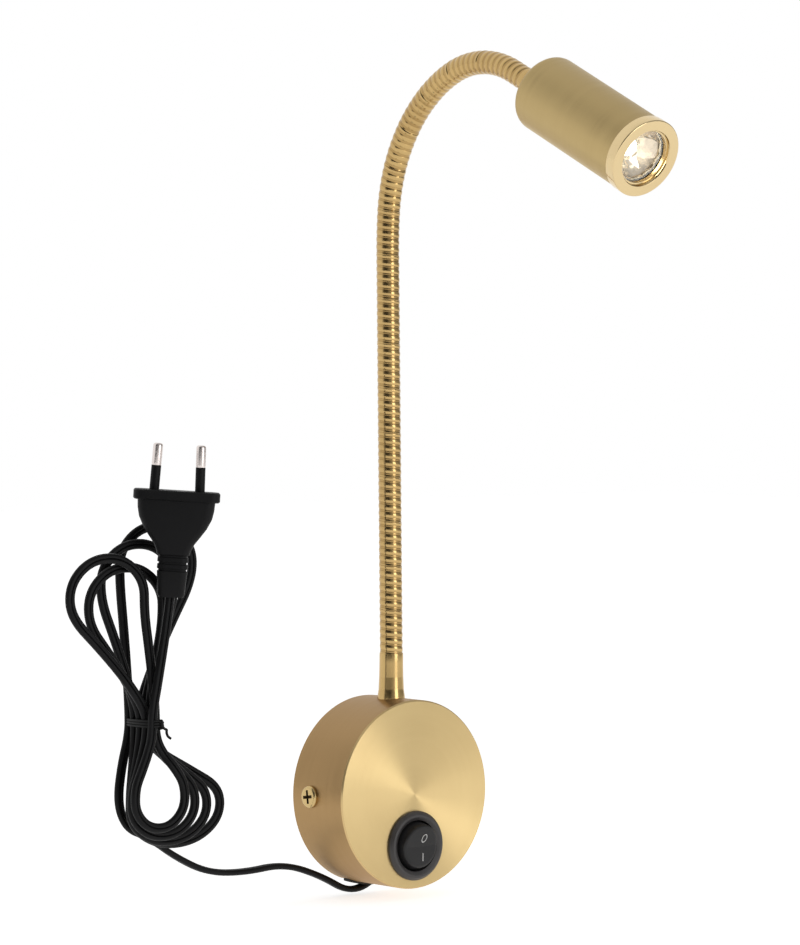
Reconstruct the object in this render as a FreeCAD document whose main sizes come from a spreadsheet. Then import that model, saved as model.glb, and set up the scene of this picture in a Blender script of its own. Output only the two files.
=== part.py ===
"""A bedside wall reading lamp: a round brass base with a rocker switch, a ribbed bendable
neck, a small spot head with a lens, and a mains lead wound in a tied hank with its plug.

Millimetres. The origin is the middle of the base's back, on the wall. X is to the right,
Z up, and the lamp stands out from the wall towards -Y.
"""
import FreeCAD, Part
import Sketcher
import math
import os

Vector = FreeCAD.Vector
Placement = FreeCAD.Placement
Rotation = FreeCAD.Rotation
X_AXIS, Y_AXIS, Z_AXIS = Vector(1, 0, 0), Vector(0, 1, 0), Vector(0, 0, 1)

doc = FreeCAD.newDocument("reading_lamp")

# ---------------------------------------------------------------- driving dimensions
SIZES = {
    # round base
    "base_radius": 40.0, "base_depth": 32.5, "base_wall": 1.6, "base_edge": 0.6,
    "switch_drop": 21.7, "switch_hole": 13.1,
    "plate_radius": 37.8, "plate_thickness": 1.5,
    "slot_spacing": 50.0, "slot_length": 9.0, "slot_half_width": 2.3,
    "tab_half_width": 6.0, "tab_outer": 37.6, "tab_reach": 18.0,
    "side_screw_out": 12.0, "screw_radius": 2.45, "screw_length": 10.0,
    "screw_head_radius": 4.75, "screw_head_height": 3.0,
    # neck fittings
    "neck_out": 16.6, "collar_length": 19.0, "collar_foot_radius": 5.8,
    "collar_mouth_radius": 4.9, "stud_radius": 5.0, "stud_length": 9.0,
    "wire_bore": 2.6, "socket_radius": 3.5, "socket_depth": 6.2,
    "nut_flat": 6.5, "nut_height": 3.0, "washer_radius": 7.8, "washer_height": 0.9,
    # bendable neck
    "rib_radius": 4.6, "rib_root": 4.0, "rib_slope": 0.45, "link_gap": 1.1,
    "link_bore": 1.9, "spigot_radius": 2.9, "spigot_reach": 2.1,
    "cup_radius": 3.65, "cup_depth": 3.0,
    "neck_lean": -1.1, "neck_straight": 169.5,
    "bend_one_radius": 190.0, "bend_one_turn": 5.5,
    "bend_two_radius": 67.5, "bend_two_turn": 61.6,
    "bend_three_radius": 48.0, "bend_three_turn": 49.5,
    # spot head, measured along its own axis from the end of the ribs
    "head_radius": 15.0, "head_wall": 1.5, "head_start": 19.0, "head_length": 63.0,
    "ring_radius": 15.5, "ring_length": 5.0, "ring_mouth": 10.75,
    # rocker switch
    "bezel_radius": 14.75, "bezel_height": 2.4, "barrel_radius": 13.0, "barrel_depth": 17.0,
    "rocker_hole": 11.3, "rocker_well": 9.5, "pivot_depth": 1.5, "rocker_radius": 10.9,
    "rocker_top_radius": 9.4, "rocker_face": 4.0, "rocker_tilt": 15.0, "rocker_pin": 1.0,
    # cord, hank and plug
    "cord_radius": 1.6, "layer_step": 4.0, "strand_step": 4.4, "hank_x": -125.6, "hank_z": 36.0,
    "plug_half_width": 17.65, "plug_half_thickness": 6.85, "pin_radius": 2.0,
    "pin_length": 19.0, "pin_half_spacing": 9.3, "pin_sleeve_length": 10.0,
}
LINKS = 16          # rigid lengths that the bendable neck is split into
RIBS_PER_LINK = 6
HOSE_SIDES = 8      # sides of a rib's outline
CORD_SIDES = 5      # sides of the cord's section
TURNS = 4           # whole turns of the hank

sheet = doc.addObject("Spreadsheet::Sheet", "Sizes")
for row, (name, value) in enumerate(SIZES.items(), 1):
    sheet.set("A%d" % row, name)
    sheet.set("B%d" % row, str(value))
    sheet.setAlias("B%d" % row, name)
doc.recompute()


class Length:
    """A size with its value and the sheet formula that gives it."""

    def __init__(self, value, text):
        self.value, self.text = value, text

    def joined(self, other, sign, value):
        text = other.text if isinstance(other, Length) else repr(float(other))
        return Length(value, "(%s %s %s)" % (self.text, sign, text))

    def __add__(self, other):
        return self.joined(other, "+", self.value + plain(other))

    def __sub__(self, other):
        return self.joined(other, "-", self.value - plain(other))

    def __mul__(self, other):
        return self.joined(other, "*", self.value * plain(other))

    def __neg__(self):
        return Length(-self.value, "(0 - %s)" % self.text)


def plain(size):
    """The number of a size."""
    return size.value if isinstance(size, Length) else float(size)


def cell(name):
    """A driving dimension, read from the sheet."""
    return Length(float(sheet.get(name)), "Sizes.%s" % name)


def num(name):
    return cell(name).value


# ---------------------------------------------------------------- helpers
PARTS = []          # the finished sub-parts, in order

# the base's pieces are drawn facing out: their own Y is up and their own Z is away from the wall
FACING = Placement(Vector(), Rotation(X_AXIS, 90))


def keep(thing, label, placement=None):
    """Names a finished piece and lists it for export."""
    thing.Label = label
    if placement is not None:
        thing.Placement = placement
    PARTS.append(thing)
    return thing


def shape_piece(label, shape, placement=None):
    """A piece whose shape comes straight from Part's functions."""
    piece = doc.addObject("Part::Feature", label)
    piece.Shape = shape
    return keep(piece, label, placement)


def sketch_in(body, role="XY_Plane", lift=0.0):
    sketch = body.newObject("Sketcher::SketchObject", body.Name + "_sketch")
    plane = next(f for f in body.Origin.OriginFeatures if f.Role == role)
    sketch.AttachmentSupport = [(plane, "")]
    sketch.MapMode = "FlatFace"
    sketch.AttachmentOffset = Placement(Vector(0, 0, plain(lift)), Rotation())
    if isinstance(lift, Length):
        sketch.setExpression("AttachmentOffset.Base.z", lift.text)
    return sketch


def pin_down(sketch, edge, vertex, x, y):
    """Holds a vertex at a distance from the sketch's origin."""
    for kind, size, axis in (("DistanceX", x, -2), ("DistanceY", y, -1)):
        if abs(plain(size)) < 1e-9:
            sketch.addConstraint(Sketcher.Constraint("PointOnObject", edge, vertex, axis))
            continue
        rule = Sketcher.Constraint(kind, -1, 1, edge, vertex, plain(size))
        index = sketch.addConstraint(rule)
        if isinstance(size, Length):
            sketch.setExpression("Constraints[%d]" % index, size.text)


def draw_outline(sketch, corners):
    """A closed outline of straight edges through corners given as (x, y)."""
    points = [Vector(plain(x), plain(y), 0) for x, y in corners]
    first = sketch.GeometryCount
    count = len(points)
    for i in range(count):
        sketch.addGeometry(Part.LineSegment(points[i], points[(i + 1) % count]), False)
    for i in range(count):
        after = first + (i + 1) % count
        sketch.addConstraint(Sketcher.Constraint("Coincident", first + i, 2, after, 1))
    for i, (x, y) in enumerate(corners):
        pin_down(sketch, first + i, 1, x, y)


def draw_circle(sketch, radius, x=0.0, y=0.0):
    centre = Vector(plain(x), plain(y), 0)
    edge = sketch.addGeometry(Part.Circle(centre, Z_AXIS, plain(radius)), False)
    index = sketch.addConstraint(Sketcher.Constraint("Radius", edge, plain(radius)))
    if isinstance(radius, Length):
        sketch.setExpression("Constraints[%d]" % index, radius.text)
    pin_down(sketch, edge, 3, x, y)


def new_body(name):
    return doc.addObject("PartDesign::Body", name)


def turned(name, outline):
    """A body turned about its Z axis from a half outline of (radius, height)."""
    body = new_body(name)
    sketch = sketch_in(body, "XZ_Plane")
    draw_outline(sketch, outline)
    spin = body.newObject("PartDesign::Revolution", name + "_turn")
    spin.Profile = sketch
    spin.ReferenceAxis = (sketch, ["V_Axis"])
    spin.Angle = 360
    sketch.Visibility = False
    return body


def padded(name, height, corners=None, radius=None, lift=0.0):
    """A body that rises from a flat outline or a circle."""
    body = new_body(name)
    sketch = sketch_in(body, lift=lift)
    if corners:
        draw_outline(sketch, corners)
    else:
        draw_circle(sketch, radius)
    pad = body.newObject("PartDesign::Pad", name + "_pad")
    pad.Profile = sketch
    pad.Length = plain(height)
    if isinstance(height, Length):
        pad.setExpression("Length", height.text)
    return body


def pocket(body, draw):
    """Cuts right through a body, upwards from its XY plane, along what draw(sketch) draws."""
    doc.recompute()
    before = body.Shape.Volume
    sketch = sketch_in(body)
    draw(sketch)
    cut = body.newObject("PartDesign::Pocket", body.Name + "_pocket")
    cut.Profile = sketch
    cut.Type = "ThroughAll"
    cut.Reversed = True
    doc.recompute()
    if body.Shape.Volume > before - 0.01:
        raise RuntimeError("a pocket in %s cut nothing" % body.Label)


def soften(body, name, radius, pick, kind="PartDesign::Fillet"):
    """Rounds or chamfers the body's edges that pick(edge) chooses."""
    doc.recompute()
    edges = ["Edge%d" % i for i, e in enumerate(body.Shape.Edges, 1) if pick(e)]
    if not edges:
        raise RuntimeError("no edge to soften in %s" % name)
    carved = body.Tip
    feature = body.newObject(kind, name)
    feature.Base = (carved, edges)
    prop = "Radius" if kind.endswith("Fillet") else "Size"
    setattr(feature, prop, plain(radius))
    if isinstance(radius, Length):
        feature.setExpression(prop, radius.text)
    return feature


def ring_edge(radius, height):
    """Picks a full circle of this radius at this height about the body's own Z axis."""
    def pick(edge):
        if not isinstance(edge.Curve, Part.Circle):
            return False
        same = abs(edge.Curve.Radius - plain(radius)) < 1e-4
        return same and abs(edge.Curve.Center.z - plain(height)) < 1e-4
    return pick


def cylinder(name, radius, height, placement=None):
    """A cylinder tied to the sheet."""
    tool = doc.addObject("Part::Cylinder", name)
    for prop, size in (("Radius", radius), ("Height", height)):
        setattr(tool, prop, plain(size))
        if isinstance(size, Length):
            tool.setExpression(prop, size.text)
    if placement is not None:
        tool.Placement = placement
    return tool


def box(name, length, width, height, corner):
    tool = doc.addObject("Part::Box", name)
    for prop, size in (("Length", length), ("Width", width), ("Height", height)):
        setattr(tool, prop, plain(size))
        if isinstance(size, Length):
            tool.setExpression(prop, size.text)
    tool.Placement.Base = Vector(*[plain(c) for c in corner])
    return tool


def joined(name, shapes):
    fuse = doc.addObject("Part::MultiFuse", name)
    fuse.Shapes = shapes
    return fuse


def cut_from(name, base, tools):
    cut = doc.addObject("Part::Cut", name)
    cut.Base = base
    cut.Tool = tools[0] if len(tools) == 1 else joined(name + "_tools", tools)
    return cut


def ring_of(sides, radius):
    """Corner directions of a regular outline."""
    step = 2 * math.pi / sides
    return [Vector(radius * math.cos(step * k), radius * math.sin(step * k), 0) for k in range(sides)]


def prism(sides, radius, height, lift=0.0):
    """A many-sided rod along Z, for small pieces that need few faces."""
    corners = [corner + Z_AXIS * lift for corner in ring_of(sides, radius)]
    return Part.Face(Part.makePolygon(corners + corners[:1])).extrude(Z_AXIS * height)


def skinned(loops, closed=False):
    """A solid whose flat faces join each loop of corners to the next. An open row gets end caps."""
    rows = list(zip(loops, loops[1:] + loops[:1]))
    outlines = []
    for loop, after in rows if closed else rows[:-1]:
        for k in range(len(loop)):
            n = (k + 1) % len(loop)
            a, b, c, d = loop[k], loop[n], after[n], after[k]
            level = abs((b - a).cross(d - a).normalize().dot(c - a)) < 1e-7
            outlines += [(a, b, c, d)] if level else [(a, b, c), (a, c, d)]
    if not closed:
        outlines += [tuple(loops[0][::-1]), tuple(loops[-1])]
    shell = Part.makeShell([Part.Face(Part.makePolygon([*corners, corners[0]]))
                            for corners in outlines])
    shell.sewShape()
    solid = Part.makeSolid(shell)
    if solid.Volume < 0:
        solid.reverse()
    return solid


# ---------------------------------------------------------------- neck path
class NeckPath:
    """The neck's centre line in the plane X = 0, from the collar's mouth to the head's stub."""

    def __init__(self):
        lean = num("neck_lean")
        foot = num("base_radius") + num("collar_length")
        self.spans = []
        place, heading = Vector(0, -num("neck_out"), foot), lean
        pieces = [(num("neck_straight"), 0.0)]
        for name in ("one", "two", "three"):
            turn = num("bend_%s_turn" % name)
            pieces.append((math.radians(turn) * num("bend_%s_radius" % name), turn))
        start = 0.0
        for length, turn in pieces:
            self.spans.append((start, length, turn, place, heading))
            place, heading = self.along(length, length, turn, place, heading)
            start += length
        self.length = start

    @staticmethod
    def along(distance, length, turn, place, heading):
        """Place and heading after a distance on a span. Heading is degrees forward of upright."""
        if turn == 0:
            a = math.radians(heading)
            return place + Vector(0, -math.sin(a), math.cos(a)) * distance, heading
        radius = length / math.radians(turn)
        after = heading + turn * distance / length
        a, b = math.radians(heading), math.radians(after)
        step = Vector(0, -(math.cos(a) - math.cos(b)), math.sin(b) - math.sin(a)) * radius
        return place + step, after

    def frame(self, distance):
        """Placement whose Z runs along the neck and whose X stays the lamp's own X."""
        for start, length, turn, place, heading in self.spans:
            if distance <= start + length + 1e-9 or (start + length) >= self.length:
                spot, angle = self.along(distance - start, length, turn, place, heading)
                return Placement(spot, Rotation(X_AXIS, angle))
        raise ValueError("off the neck")


neck = NeckPath()


# ---------------------------------------------------------------- cord routes
CHORD_ERROR = 0.15      # how far a bend's straight runs may cut inside its arc


def rounded_route(points, share=0.45):
    """A route with its corners rounded to tangent arcs, each taken in short even runs. Gives the
    route's points and the arcs' radii."""
    route, radii = [points[0]], []
    for before, here, after in zip(points, points[1:], points[2:]):
        into, out = here - before, after - here
        turn = into.getAngle(out)
        if turn < 1e-6:
            raise ValueError("three route points in line")
        tangent = share * min(into.Length, out.Length)
        radius = tangent / math.tan(turn / 2)
        first = here - into / into.Length * tangent
        axis = into.cross(out)
        centre = first + axis.cross(into).normalize() * radius
        runs = math.ceil(turn / (2 * math.acos(1 - CHORD_ERROR / radius)))
        for j in range(runs + 1):
            spin = Rotation(axis, math.degrees(turn) * j / runs)
            route.append(centre + spin.multVec(first - centre))
        radii.append(radius)
    return route + [points[-1]], radii


def tube(route, radius, sides):
    """A many-sided tube along a route of straight runs, mitred where they meet."""
    headings = [(after - here).normalize() for here, after in zip(route, route[1:])]
    turn = Rotation(Z_AXIS, headings[0])
    loops = [[route[0] + turn.multVec(corner) for corner in ring_of(sides, radius)]]
    for i, heading in enumerate(headings):
        mitre = heading + headings[min(i + 1, len(headings) - 1)]
        end = route[i + 1]
        loops.append([corner + heading * ((end - corner).dot(mitre) / heading.dot(mitre))
                      for corner in loops[-1]])
    return skinned(loops)


def report_tube(label, solid, route, radii, radius, sides):
    """Prints a tube's facts: its length, least radius, and volume against section times length."""
    section = 0.5 * sides * radius ** 2 * math.sin(2 * math.pi / sides)
    length = Part.makePolygon(route).Length
    print("%s: length %.1f mm, least radius %.1f mm, volume / (section x length) %.3f"
          % (label, length, min(radii), solid.Volume / (section * length)))


def least_self_gap(route, diameter, step=1.0):
    """Least distance between stretches of a tube that are further apart along it than 3 diameters."""
    wire = Part.makePolygon(route)
    points = wire.discretize(Number=int(wire.Length / step))
    skip = int(3 * diameter / step)
    buckets, least = {}, 1e9
    size = 3 * diameter
    for i, p in enumerate(points):
        key = (int(p.x // size), int(p.y // size), int(p.z // size))
        for dx in (-1, 0, 1):
            for dy in (-1, 0, 1):
                for dz in (-1, 0, 1):
                    for j in buckets.get((key[0] + dx, key[1] + dy, key[2] + dz), ()):
                        if i - j > skip:
                            least = min(least, p.distanceToPoint(points[j]))
        buckets.setdefault(key, []).append(i)
    return least - diameter


# ---------------------------------------------------------------- base
CORD_PLANE = -3.4       # how far the lead runs from the wall inside and beside the base
LEAD_START = Vector(17, CORD_PLANE, -27)
LEAD_ROUTE = [
    LEAD_START, Vector(4, CORD_PLANE, -37), Vector(-12, CORD_PLANE, -43),
    Vector(-29, CORD_PLANE, -34.5), Vector(-48, CORD_PLANE, -28.5), Vector(-69, CORD_PLANE, -30.5),
    Vector(-88, CORD_PLANE, -29), Vector(-104, -2.9, -21.5),
]


def base_housing():
    """The round cup: flat front, side wall, openings for the switch, the neck, the screws and the lead."""
    radius, depth, wall = cell("base_radius"), cell("base_depth"), cell("base_wall")
    body = turned("housing_cup", [
        (0, depth - wall), (radius - wall, depth - wall), (radius - wall, 0),
        (radius, 0), (radius, depth), (0, depth)])
    pocket(body, lambda sketch: draw_circle(sketch, cell("switch_hole"), 0, -cell("switch_drop")))
    soften(body, "front_edge", cell("base_edge"), ring_edge(radius, depth), "PartDesign::Chamfer")
    body.Placement = FACING
    stud_hole = cylinder("stud_hole", cell("stud_radius") + 0.1, 10,
                         Placement(Vector(0, -num("neck_out"), 34), Rotation()))
    screw_hole = cylinder("screw_hole", cell("screw_radius") + 0.3, 100,
                          Placement(Vector(-50, -num("side_screw_out"), 0), Rotation(Y_AXIS, 90)))
    notch = box("lead_notch", 17, 5.6, 8, (-13.5, -5.6, -43))
    keep(cut_from("housing_cut", body, [stud_hole, screw_hole, notch]), "base_housing")


def wall_plate():
    """The steel plate that is screwed to the wall and takes the two side screws in its bent tabs."""
    half = cell("slot_spacing") * 0.5
    disc = padded("plate_disc", cell("plate_thickness"), radius=cell("plate_radius"))
    disc.Placement = FACING
    slots = []
    run = num("slot_length") / 2 - num("slot_half_width")
    for side, name in ((-1, "left"), (1, "right")):
        straight = box("slot_" + name, 2 * run, num("slot_half_width") * 2, 4, (
            side * half.value - run, -num("slot_half_width"), -1))
        ends = [cylinder("slot_end_%s_%d" % (name, end), cell("slot_half_width"), 4,
                         Placement(Vector(side * half.value + end * run, 0, -1), Rotation()))
                for end in (-1, 1)]
        slots += [straight] + ends
    tool = joined("slot_tools", slots)
    tool.Placement = FACING
    slotted = cut_from("plate_slotted", disc, [tool])
    tabs = []
    thickness, half_width = num("plate_thickness"), num("tab_half_width")
    for side, name in ((-1, "left"), (1, "right")):
        inner = side * (num("tab_outer") - thickness)
        start = min(inner, side * num("tab_outer"))
        tabs.append(box("tab_" + name, thickness, cell("tab_reach"), half_width * 2,
                        (start, -num("tab_reach"), -half_width)))
    threads = cylinder("tab_threads", cell("screw_radius") + 0.02, 100,
                       Placement(Vector(-50, -num("side_screw_out"), 0), Rotation(Y_AXIS, 90)))
    clip = cylinder("clip_thread", 1.12, 5, clip_place().multiply(
        Placement(Vector(-CLIP_SCREW_SIDE, -3, 0), Rotation(X_AXIS, -90))))
    plate = joined("plate_with_tabs", [slotted] + tabs)
    keep(cut_from("plate_cut", plate, [threads, clip]), "wall_plate")


def side_screws():
    """The two brass pan-head screws with a cross recess, one at each side of the base."""
    head, height, shank = cell("screw_head_radius"), cell("screw_head_height"), cell("screw_radius")
    length = cell("screw_length")
    screws = []
    for side, name in ((-1, "left"), (1, "right")):
        screw = turned("screw_" + name, [
            (0, -length), (shank, -length), (shank, 0), (head, 0), (head, height * 0.5),
            (head * 0.7, height), (0, height)])
        arms = joined("cross_" + name, [
            box("cross_a_" + name, 5.2, 1.1, 3, (-2.6, -0.55, num("screw_head_height") - 1.5)),
            box("cross_b_" + name, 1.1, 5.2, 3, (-0.55, -2.6, num("screw_head_height") - 1.5))])
        whole = cut_from("screw_cut_" + name, screw, [arms])
        whole.Placement = Placement(
            Vector(side * num("base_radius"), -num("side_screw_out"), 0), Rotation(Y_AXIS, side * 90))
        screws.append(whole)
    pair = doc.addObject("Part::Compound", "screw_pair")
    pair.Links = screws
    keep(pair, "side_screws")


def collar_outline(bore_end):
    """Half outline of a neck collar: stud below 0, flared ferrule above, mouth for the neck's end."""
    length, stud = cell("collar_length"), cell("stud_radius")
    foot, mouth = cell("collar_foot_radius"), cell("collar_mouth_radius")
    return [
        (cell("wire_bore"), -bore_end), (stud, -bore_end), (stud, -0.7), (foot, -0.7), (foot, 2.2),
        (mouth, length * 0.72), (mouth, length), (cell("socket_radius"), length),
        (cell("socket_radius"), length - cell("socket_depth")),
        (cell("wire_bore"), length - cell("socket_depth"))]


def neck_collar():
    """The polished ferrule at the neck's foot. Its underside follows the round base."""
    body = turned("collar_turned", collar_outline(cell("stud_length")))
    body.Placement = Placement(Vector(0, -num("neck_out"), num("base_radius")), Rotation())
    seat = cylinder("collar_seat", cell("base_radius"), 40,
                    Placement(Vector(0, 0, 0), Rotation(X_AXIS, 90)))
    stud_room = cylinder("stud_room", cell("stud_radius") + 0.05, 40,
                         Placement(Vector(0, -num("neck_out"), 10), Rotation()))
    keep(cut_from("collar_seated", body, [cut_from("seat_ring", seat, [stud_room])]), "neck_collar")


def even_corners(sides, reach):
    """Corners of a regular outline, each as far from its middle."""
    step = 2 * math.pi / sides
    return [(reach * math.cos(step * k), reach * math.sin(step * k)) for k in range(sides)]


def lock_nut(label, placement):
    """A thin six-sided nut on a hollow stud."""
    body = padded(label + "_body", cell("nut_height"), corners=even_corners(
        6, cell("nut_flat") * (2 / math.sqrt(3))))
    pocket(body, lambda sketch: draw_circle(sketch, cell("stud_radius") + 0.02))
    keep(body, label, placement)


def lock_washer(label, placement):
    """A toothed washer under the nut, with its teeth as notches round the rim."""
    teeth, corners = 12, []
    count = 2 * teeth
    for k in range(count):
        reach = 1.0 if k % 2 == 0 else 0.86
        angle = 2 * math.pi * k / count
        corners.append((cell("washer_radius") * (reach * math.cos(angle)),
                        cell("washer_radius") * (reach * math.sin(angle))))
    body = padded(label + "_body", cell("washer_height"), corners=corners)
    pocket(body, lambda sketch: draw_circle(sketch, cell("stud_radius") + 0.05))
    keep(body, label, placement)


def collar_fastening():
    """Washer and nut inside the base, up against its round wall."""
    inner = num("base_radius") - num("base_wall")
    rim = math.sqrt(inner ** 2 - num("washer_radius") ** 2) - num("washer_height") - 0.02
    lock_washer("collar_washer", Placement(Vector(0, -num("neck_out"), rim), Rotation()))
    lock_nut("collar_nut", Placement(
        Vector(0, -num("neck_out"), rim - num("nut_height")), Rotation()))


# ---------------------------------------------------------------- switch
SWITCH_PLACE = Placement(
    Vector(0, -num("base_depth"), -num("switch_drop")), Rotation(X_AXIS, 90))


def switch_body():
    """The round bezel with its barrel, a well for the rocker and two holes for the rocker's pins."""
    bezel, high = cell("bezel_radius"), cell("bezel_height")
    hole, barrel, deep = cell("rocker_hole"), cell("barrel_radius"), cell("barrel_depth")
    body = turned("switch_turned", [
        (0, -deep), (barrel, -deep), (barrel, 0), (bezel, 0), (bezel, high * 0.45),
        (bezel - 1.7, high), (hole + 0.7, high), (hole, high - 0.7), (hole, -cell("rocker_well")),
        (0, -cell("rocker_well"))])
    body.Placement = SWITCH_PLACE
    pins = cylinder("pin_holes", cell("rocker_pin") + 0.05, 25.4, SWITCH_PLACE.multiply(
        Placement(Vector(-12.7, 0, -num("pivot_depth")), Rotation(Y_AXIS, 90))))
    keep(cut_from("switch_cut", body, [pins]), "switch_body")


def switch_rocker():
    """The round rocker: its upper half leans out, its lower half is pressed in level."""
    pivot, face = num("pivot_depth"), num("rocker_face")
    tilt, low = math.tan(math.radians(num("rocker_tilt"))), -3.0
    blank = turned("rocker_blank", [
        (0, low - pivot), (cell("rocker_radius") - 0.5, low - pivot),
        (cell("rocker_radius"), -cell("pivot_depth")),
        (cell("rocker_top_radius"), face + 3.2), (0, face + 3.2)])
    wide = num("rocker_radius") + 1
    facets = padded("rocker_faces", 2 * wide, lift=-wide, corners=[
        (-wide, low - pivot - 1), (wide, low - pivot - 1), (wide, face + wide * tilt),
        (0, cell("rocker_face")), (-wide, cell("rocker_face"))])
    facets.Placement = Placement(Vector(), Rotation(Vector(1, 1, 1), 120))
    pins = doc.addObject("Part::Feature", "rocker_pins")
    pins.Shape = prism(8, num("rocker_pin"), 24.6)
    pins.Placement = Placement(Vector(-12.3, 0, -pivot), Rotation(Y_AXIS, 90))
    shaped = doc.addObject("Part::MultiCommon", "rocker_shaped")
    shaped.Shapes = [blank, facets]
    keep(joined("rocker_with_pins", [shaped, pins]), "switch_rocker", SWITCH_PLACE)


def switch_terminals():
    """The two flat blades behind the switch."""
    blades = []
    back = -num("base_depth") + num("barrel_depth")
    for side in (-1, 1):
        blades.append(box("blade_%d" % side, 6.3, 7.0, 0.8,
                          (-3.15, back, -num("switch_drop") + side * 5 - 0.4)))
    pair = doc.addObject("Part::Compound", "blade_pair")
    pair.Links = blades
    keep(pair, "switch_terminals")


# ---------------------------------------------------------------- inside the base
INNER_FACE = -(num("base_depth") - num("base_wall"))


def led_driver():
    """The small power unit, on a sticky pad behind the front."""
    wide, deep, high = 34.0, 14.0, 20.0
    body = padded("driver_block", deep, corners=[
        (-wide / 2, -high / 2), (wide / 2, -high / 2), (wide / 2, high / 2), (-wide / 2, high / 2)])
    soften(body, "driver_corners", 1.5, lambda e: abs(e.tangentAt(e.FirstParameter).z) > 0.99,
           "PartDesign::Chamfer")
    keep(body, "led_driver", Placement(Vector(2, INNER_FACE + 0.8 + deep, 5), Rotation(X_AXIS, 90)))
    pad = box("pad_block", 30, 0.8, 16, (2 - 15, INNER_FACE, 5 - 8))
    keep(pad, "driver_pad")


WIRE_WAY_OUT = 4.0              # the wire ways' distance from the inside of the base's front
WIRE_WAY_HEIGHTS = (1.0, 9.0)


def terminal_block():
    """A two-way screw terminal block with its wire holes and screw wells."""
    front = INNER_FACE + WIRE_WAY_OUT
    block = box("block_solid", 11, 10, 16, (-31, INNER_FACE, -3))
    tools = []
    for row, z in enumerate(WIRE_WAY_HEIGHTS):
        tools.append(box("wire_way_%d" % row, 13, 3, 3, (-32, front - 1.5, z - 1.5)))
        tools.append(box("screw_well_%d" % row, 3.4, 5, 3.4, (-27.2, INNER_FACE + 5.5, z - 1.7)))
    keep(cut_from("block_cut", block, tools), "terminal_block")


def inner_wires():
    """Short insulated wires: lead to switch and block, block to driver, driver to the collar."""
    way = INNER_FACE + WIRE_WAY_OUT
    live = [Vector(18.2, -3.4, -26.1), Vector(22, -6.0, -21), Vector(14, -8.5, -17.4),
            Vector(3.6, -11.0, -16.7)]
    neutral = [Vector(17.2, -3.4, -25.2), Vector(12, -5.2, -14), Vector(-8, -6.5, -8),
               Vector(-17.5, -13, -3), Vector(-17.5, way, 1), Vector(-22, way, 1)]
    lamp = [[Vector(side * 3, -16, 15.4), Vector(side * 2.6, -16.2, 20),
             Vector(side * 1.1, -16.6, 25), Vector(side * 1.1, -16.6, 36)] for side in (-1, 1)]
    for label, paths in (("supply_wires", [live, neutral]), ("lamp_wires", lamp)):
        wires = [tube(rounded_route(points)[0], 0.75, 4) for points in paths]
        shape_piece(label, Part.makeCompound(wires))


def cord_bush():
    """The rubber bush in the base's notch. Its hole follows the lead."""
    inner, outer = num("base_radius") - num("base_wall") - 0.9, num("base_radius") + 0.9
    out = Vector(0, -1, 0)
    ring = Part.makeCylinder(outer, 4.05, Vector(0, -1.5, 0), out)
    ring = ring.cut(Part.makeCylinder(inner, 6, Vector(), out))
    window = Part.makeBox(16.9, 6, 10, Vector(-13.45, -6, -43))
    lead = tube(rounded_route(LEAD_ROUTE)[0], num("cord_radius") + 0.08, CORD_SIDES)
    shape_piece("cord_bush", ring.common(window).cut(lead))


CLIP_SCREW_SIDE = 4.8


def clip_place():
    """Where the lead's clip stands on the wall plate: its own Z runs along the lead."""
    along = (LEAD_ROUTE[1] - LEAD_ROUTE[0]).normalize()
    middle = LEAD_ROUTE[0] + along * 5.0
    across = Vector(0, -1, 0).cross(along)
    return Placement(FreeCAD.Matrix(
        across.x, 0, along.x, middle.x, across.y, -1, along.y, -num("plate_thickness"),
        across.z, 0, along.z, middle.z, 0, 0, 0, 1))


def cord_clip():
    """A saddle over the lead, held to the wall plate by a small screw."""
    place, radius = clip_place(), num("cord_radius")
    clip = Part.makeBox(7.2, 1.2, 5, Vector(-7.2, 0, -2.5))
    clip = clip.fuse(Part.makeBox(2 * radius + 2.4, 4.9, 5, Vector(-radius - 1.2, 0, -2.5)))
    clip = clip.cut(Part.makeBox(2 * radius + 0.1, 3.7, 6, Vector(-radius - 0.05, -0.1, -3)))
    upright = Placement(Vector(-CLIP_SCREW_SIDE, 0, 0), Rotation(X_AXIS, -90))
    room = Part.makeCylinder(1.12, 6, Vector(0, 0, -1.4))
    room.Placement = upright
    screw = prism(8, 1.1, 2.6, -1.4).fuse(prism(8, 1.9, 1.1, 1.2))
    screw.Placement = place.multiply(upright)
    shape_piece("cord_clip", clip.cut(room).removeSplitter(), place)
    shape_piece("clip_screw", screw)


# ---------------------------------------------------------------- bendable neck
def link_outline(first, last):
    """Closed half outline of one link as (radius, distance along the link)."""
    pitch = neck.length / LINKS / RIBS_PER_LINK
    length = neck.length / LINKS
    half_gap, slope = num("link_gap") / 2, num("rib_slope")
    root, rib = num("rib_root"), num("rib_radius")
    low = 0.1 if first else half_gap
    high = length - 0.1 if last else length - half_gap
    points = [(root, low), (rib, low + 0.3)]
    for k in range(1, RIBS_PER_LINK):
        points += [(rib, k * pitch - slope), (root, k * pitch), (rib, k * pitch + slope)]
    points += [(rib, high - 0.3), (root, high)]
    plug, plug_reach = num("socket_radius") - 0.14, num("socket_depth") - 0.2
    spigot = plug if last else num("spigot_radius")
    reach = plug_reach if last else half_gap + num("spigot_reach")
    points += [(spigot, high), (spigot, high + reach), (num("link_bore"), high + reach)]
    if first:
        points += [(num("link_bore"), -plug_reach), (plug, -plug_reach), (plug, low)]
    else:
        floor = num("cup_depth") + half_gap
        points += [(num("link_bore"), floor), (num("cup_radius"), floor), (num("cup_radius"), low)]
    return points


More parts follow.
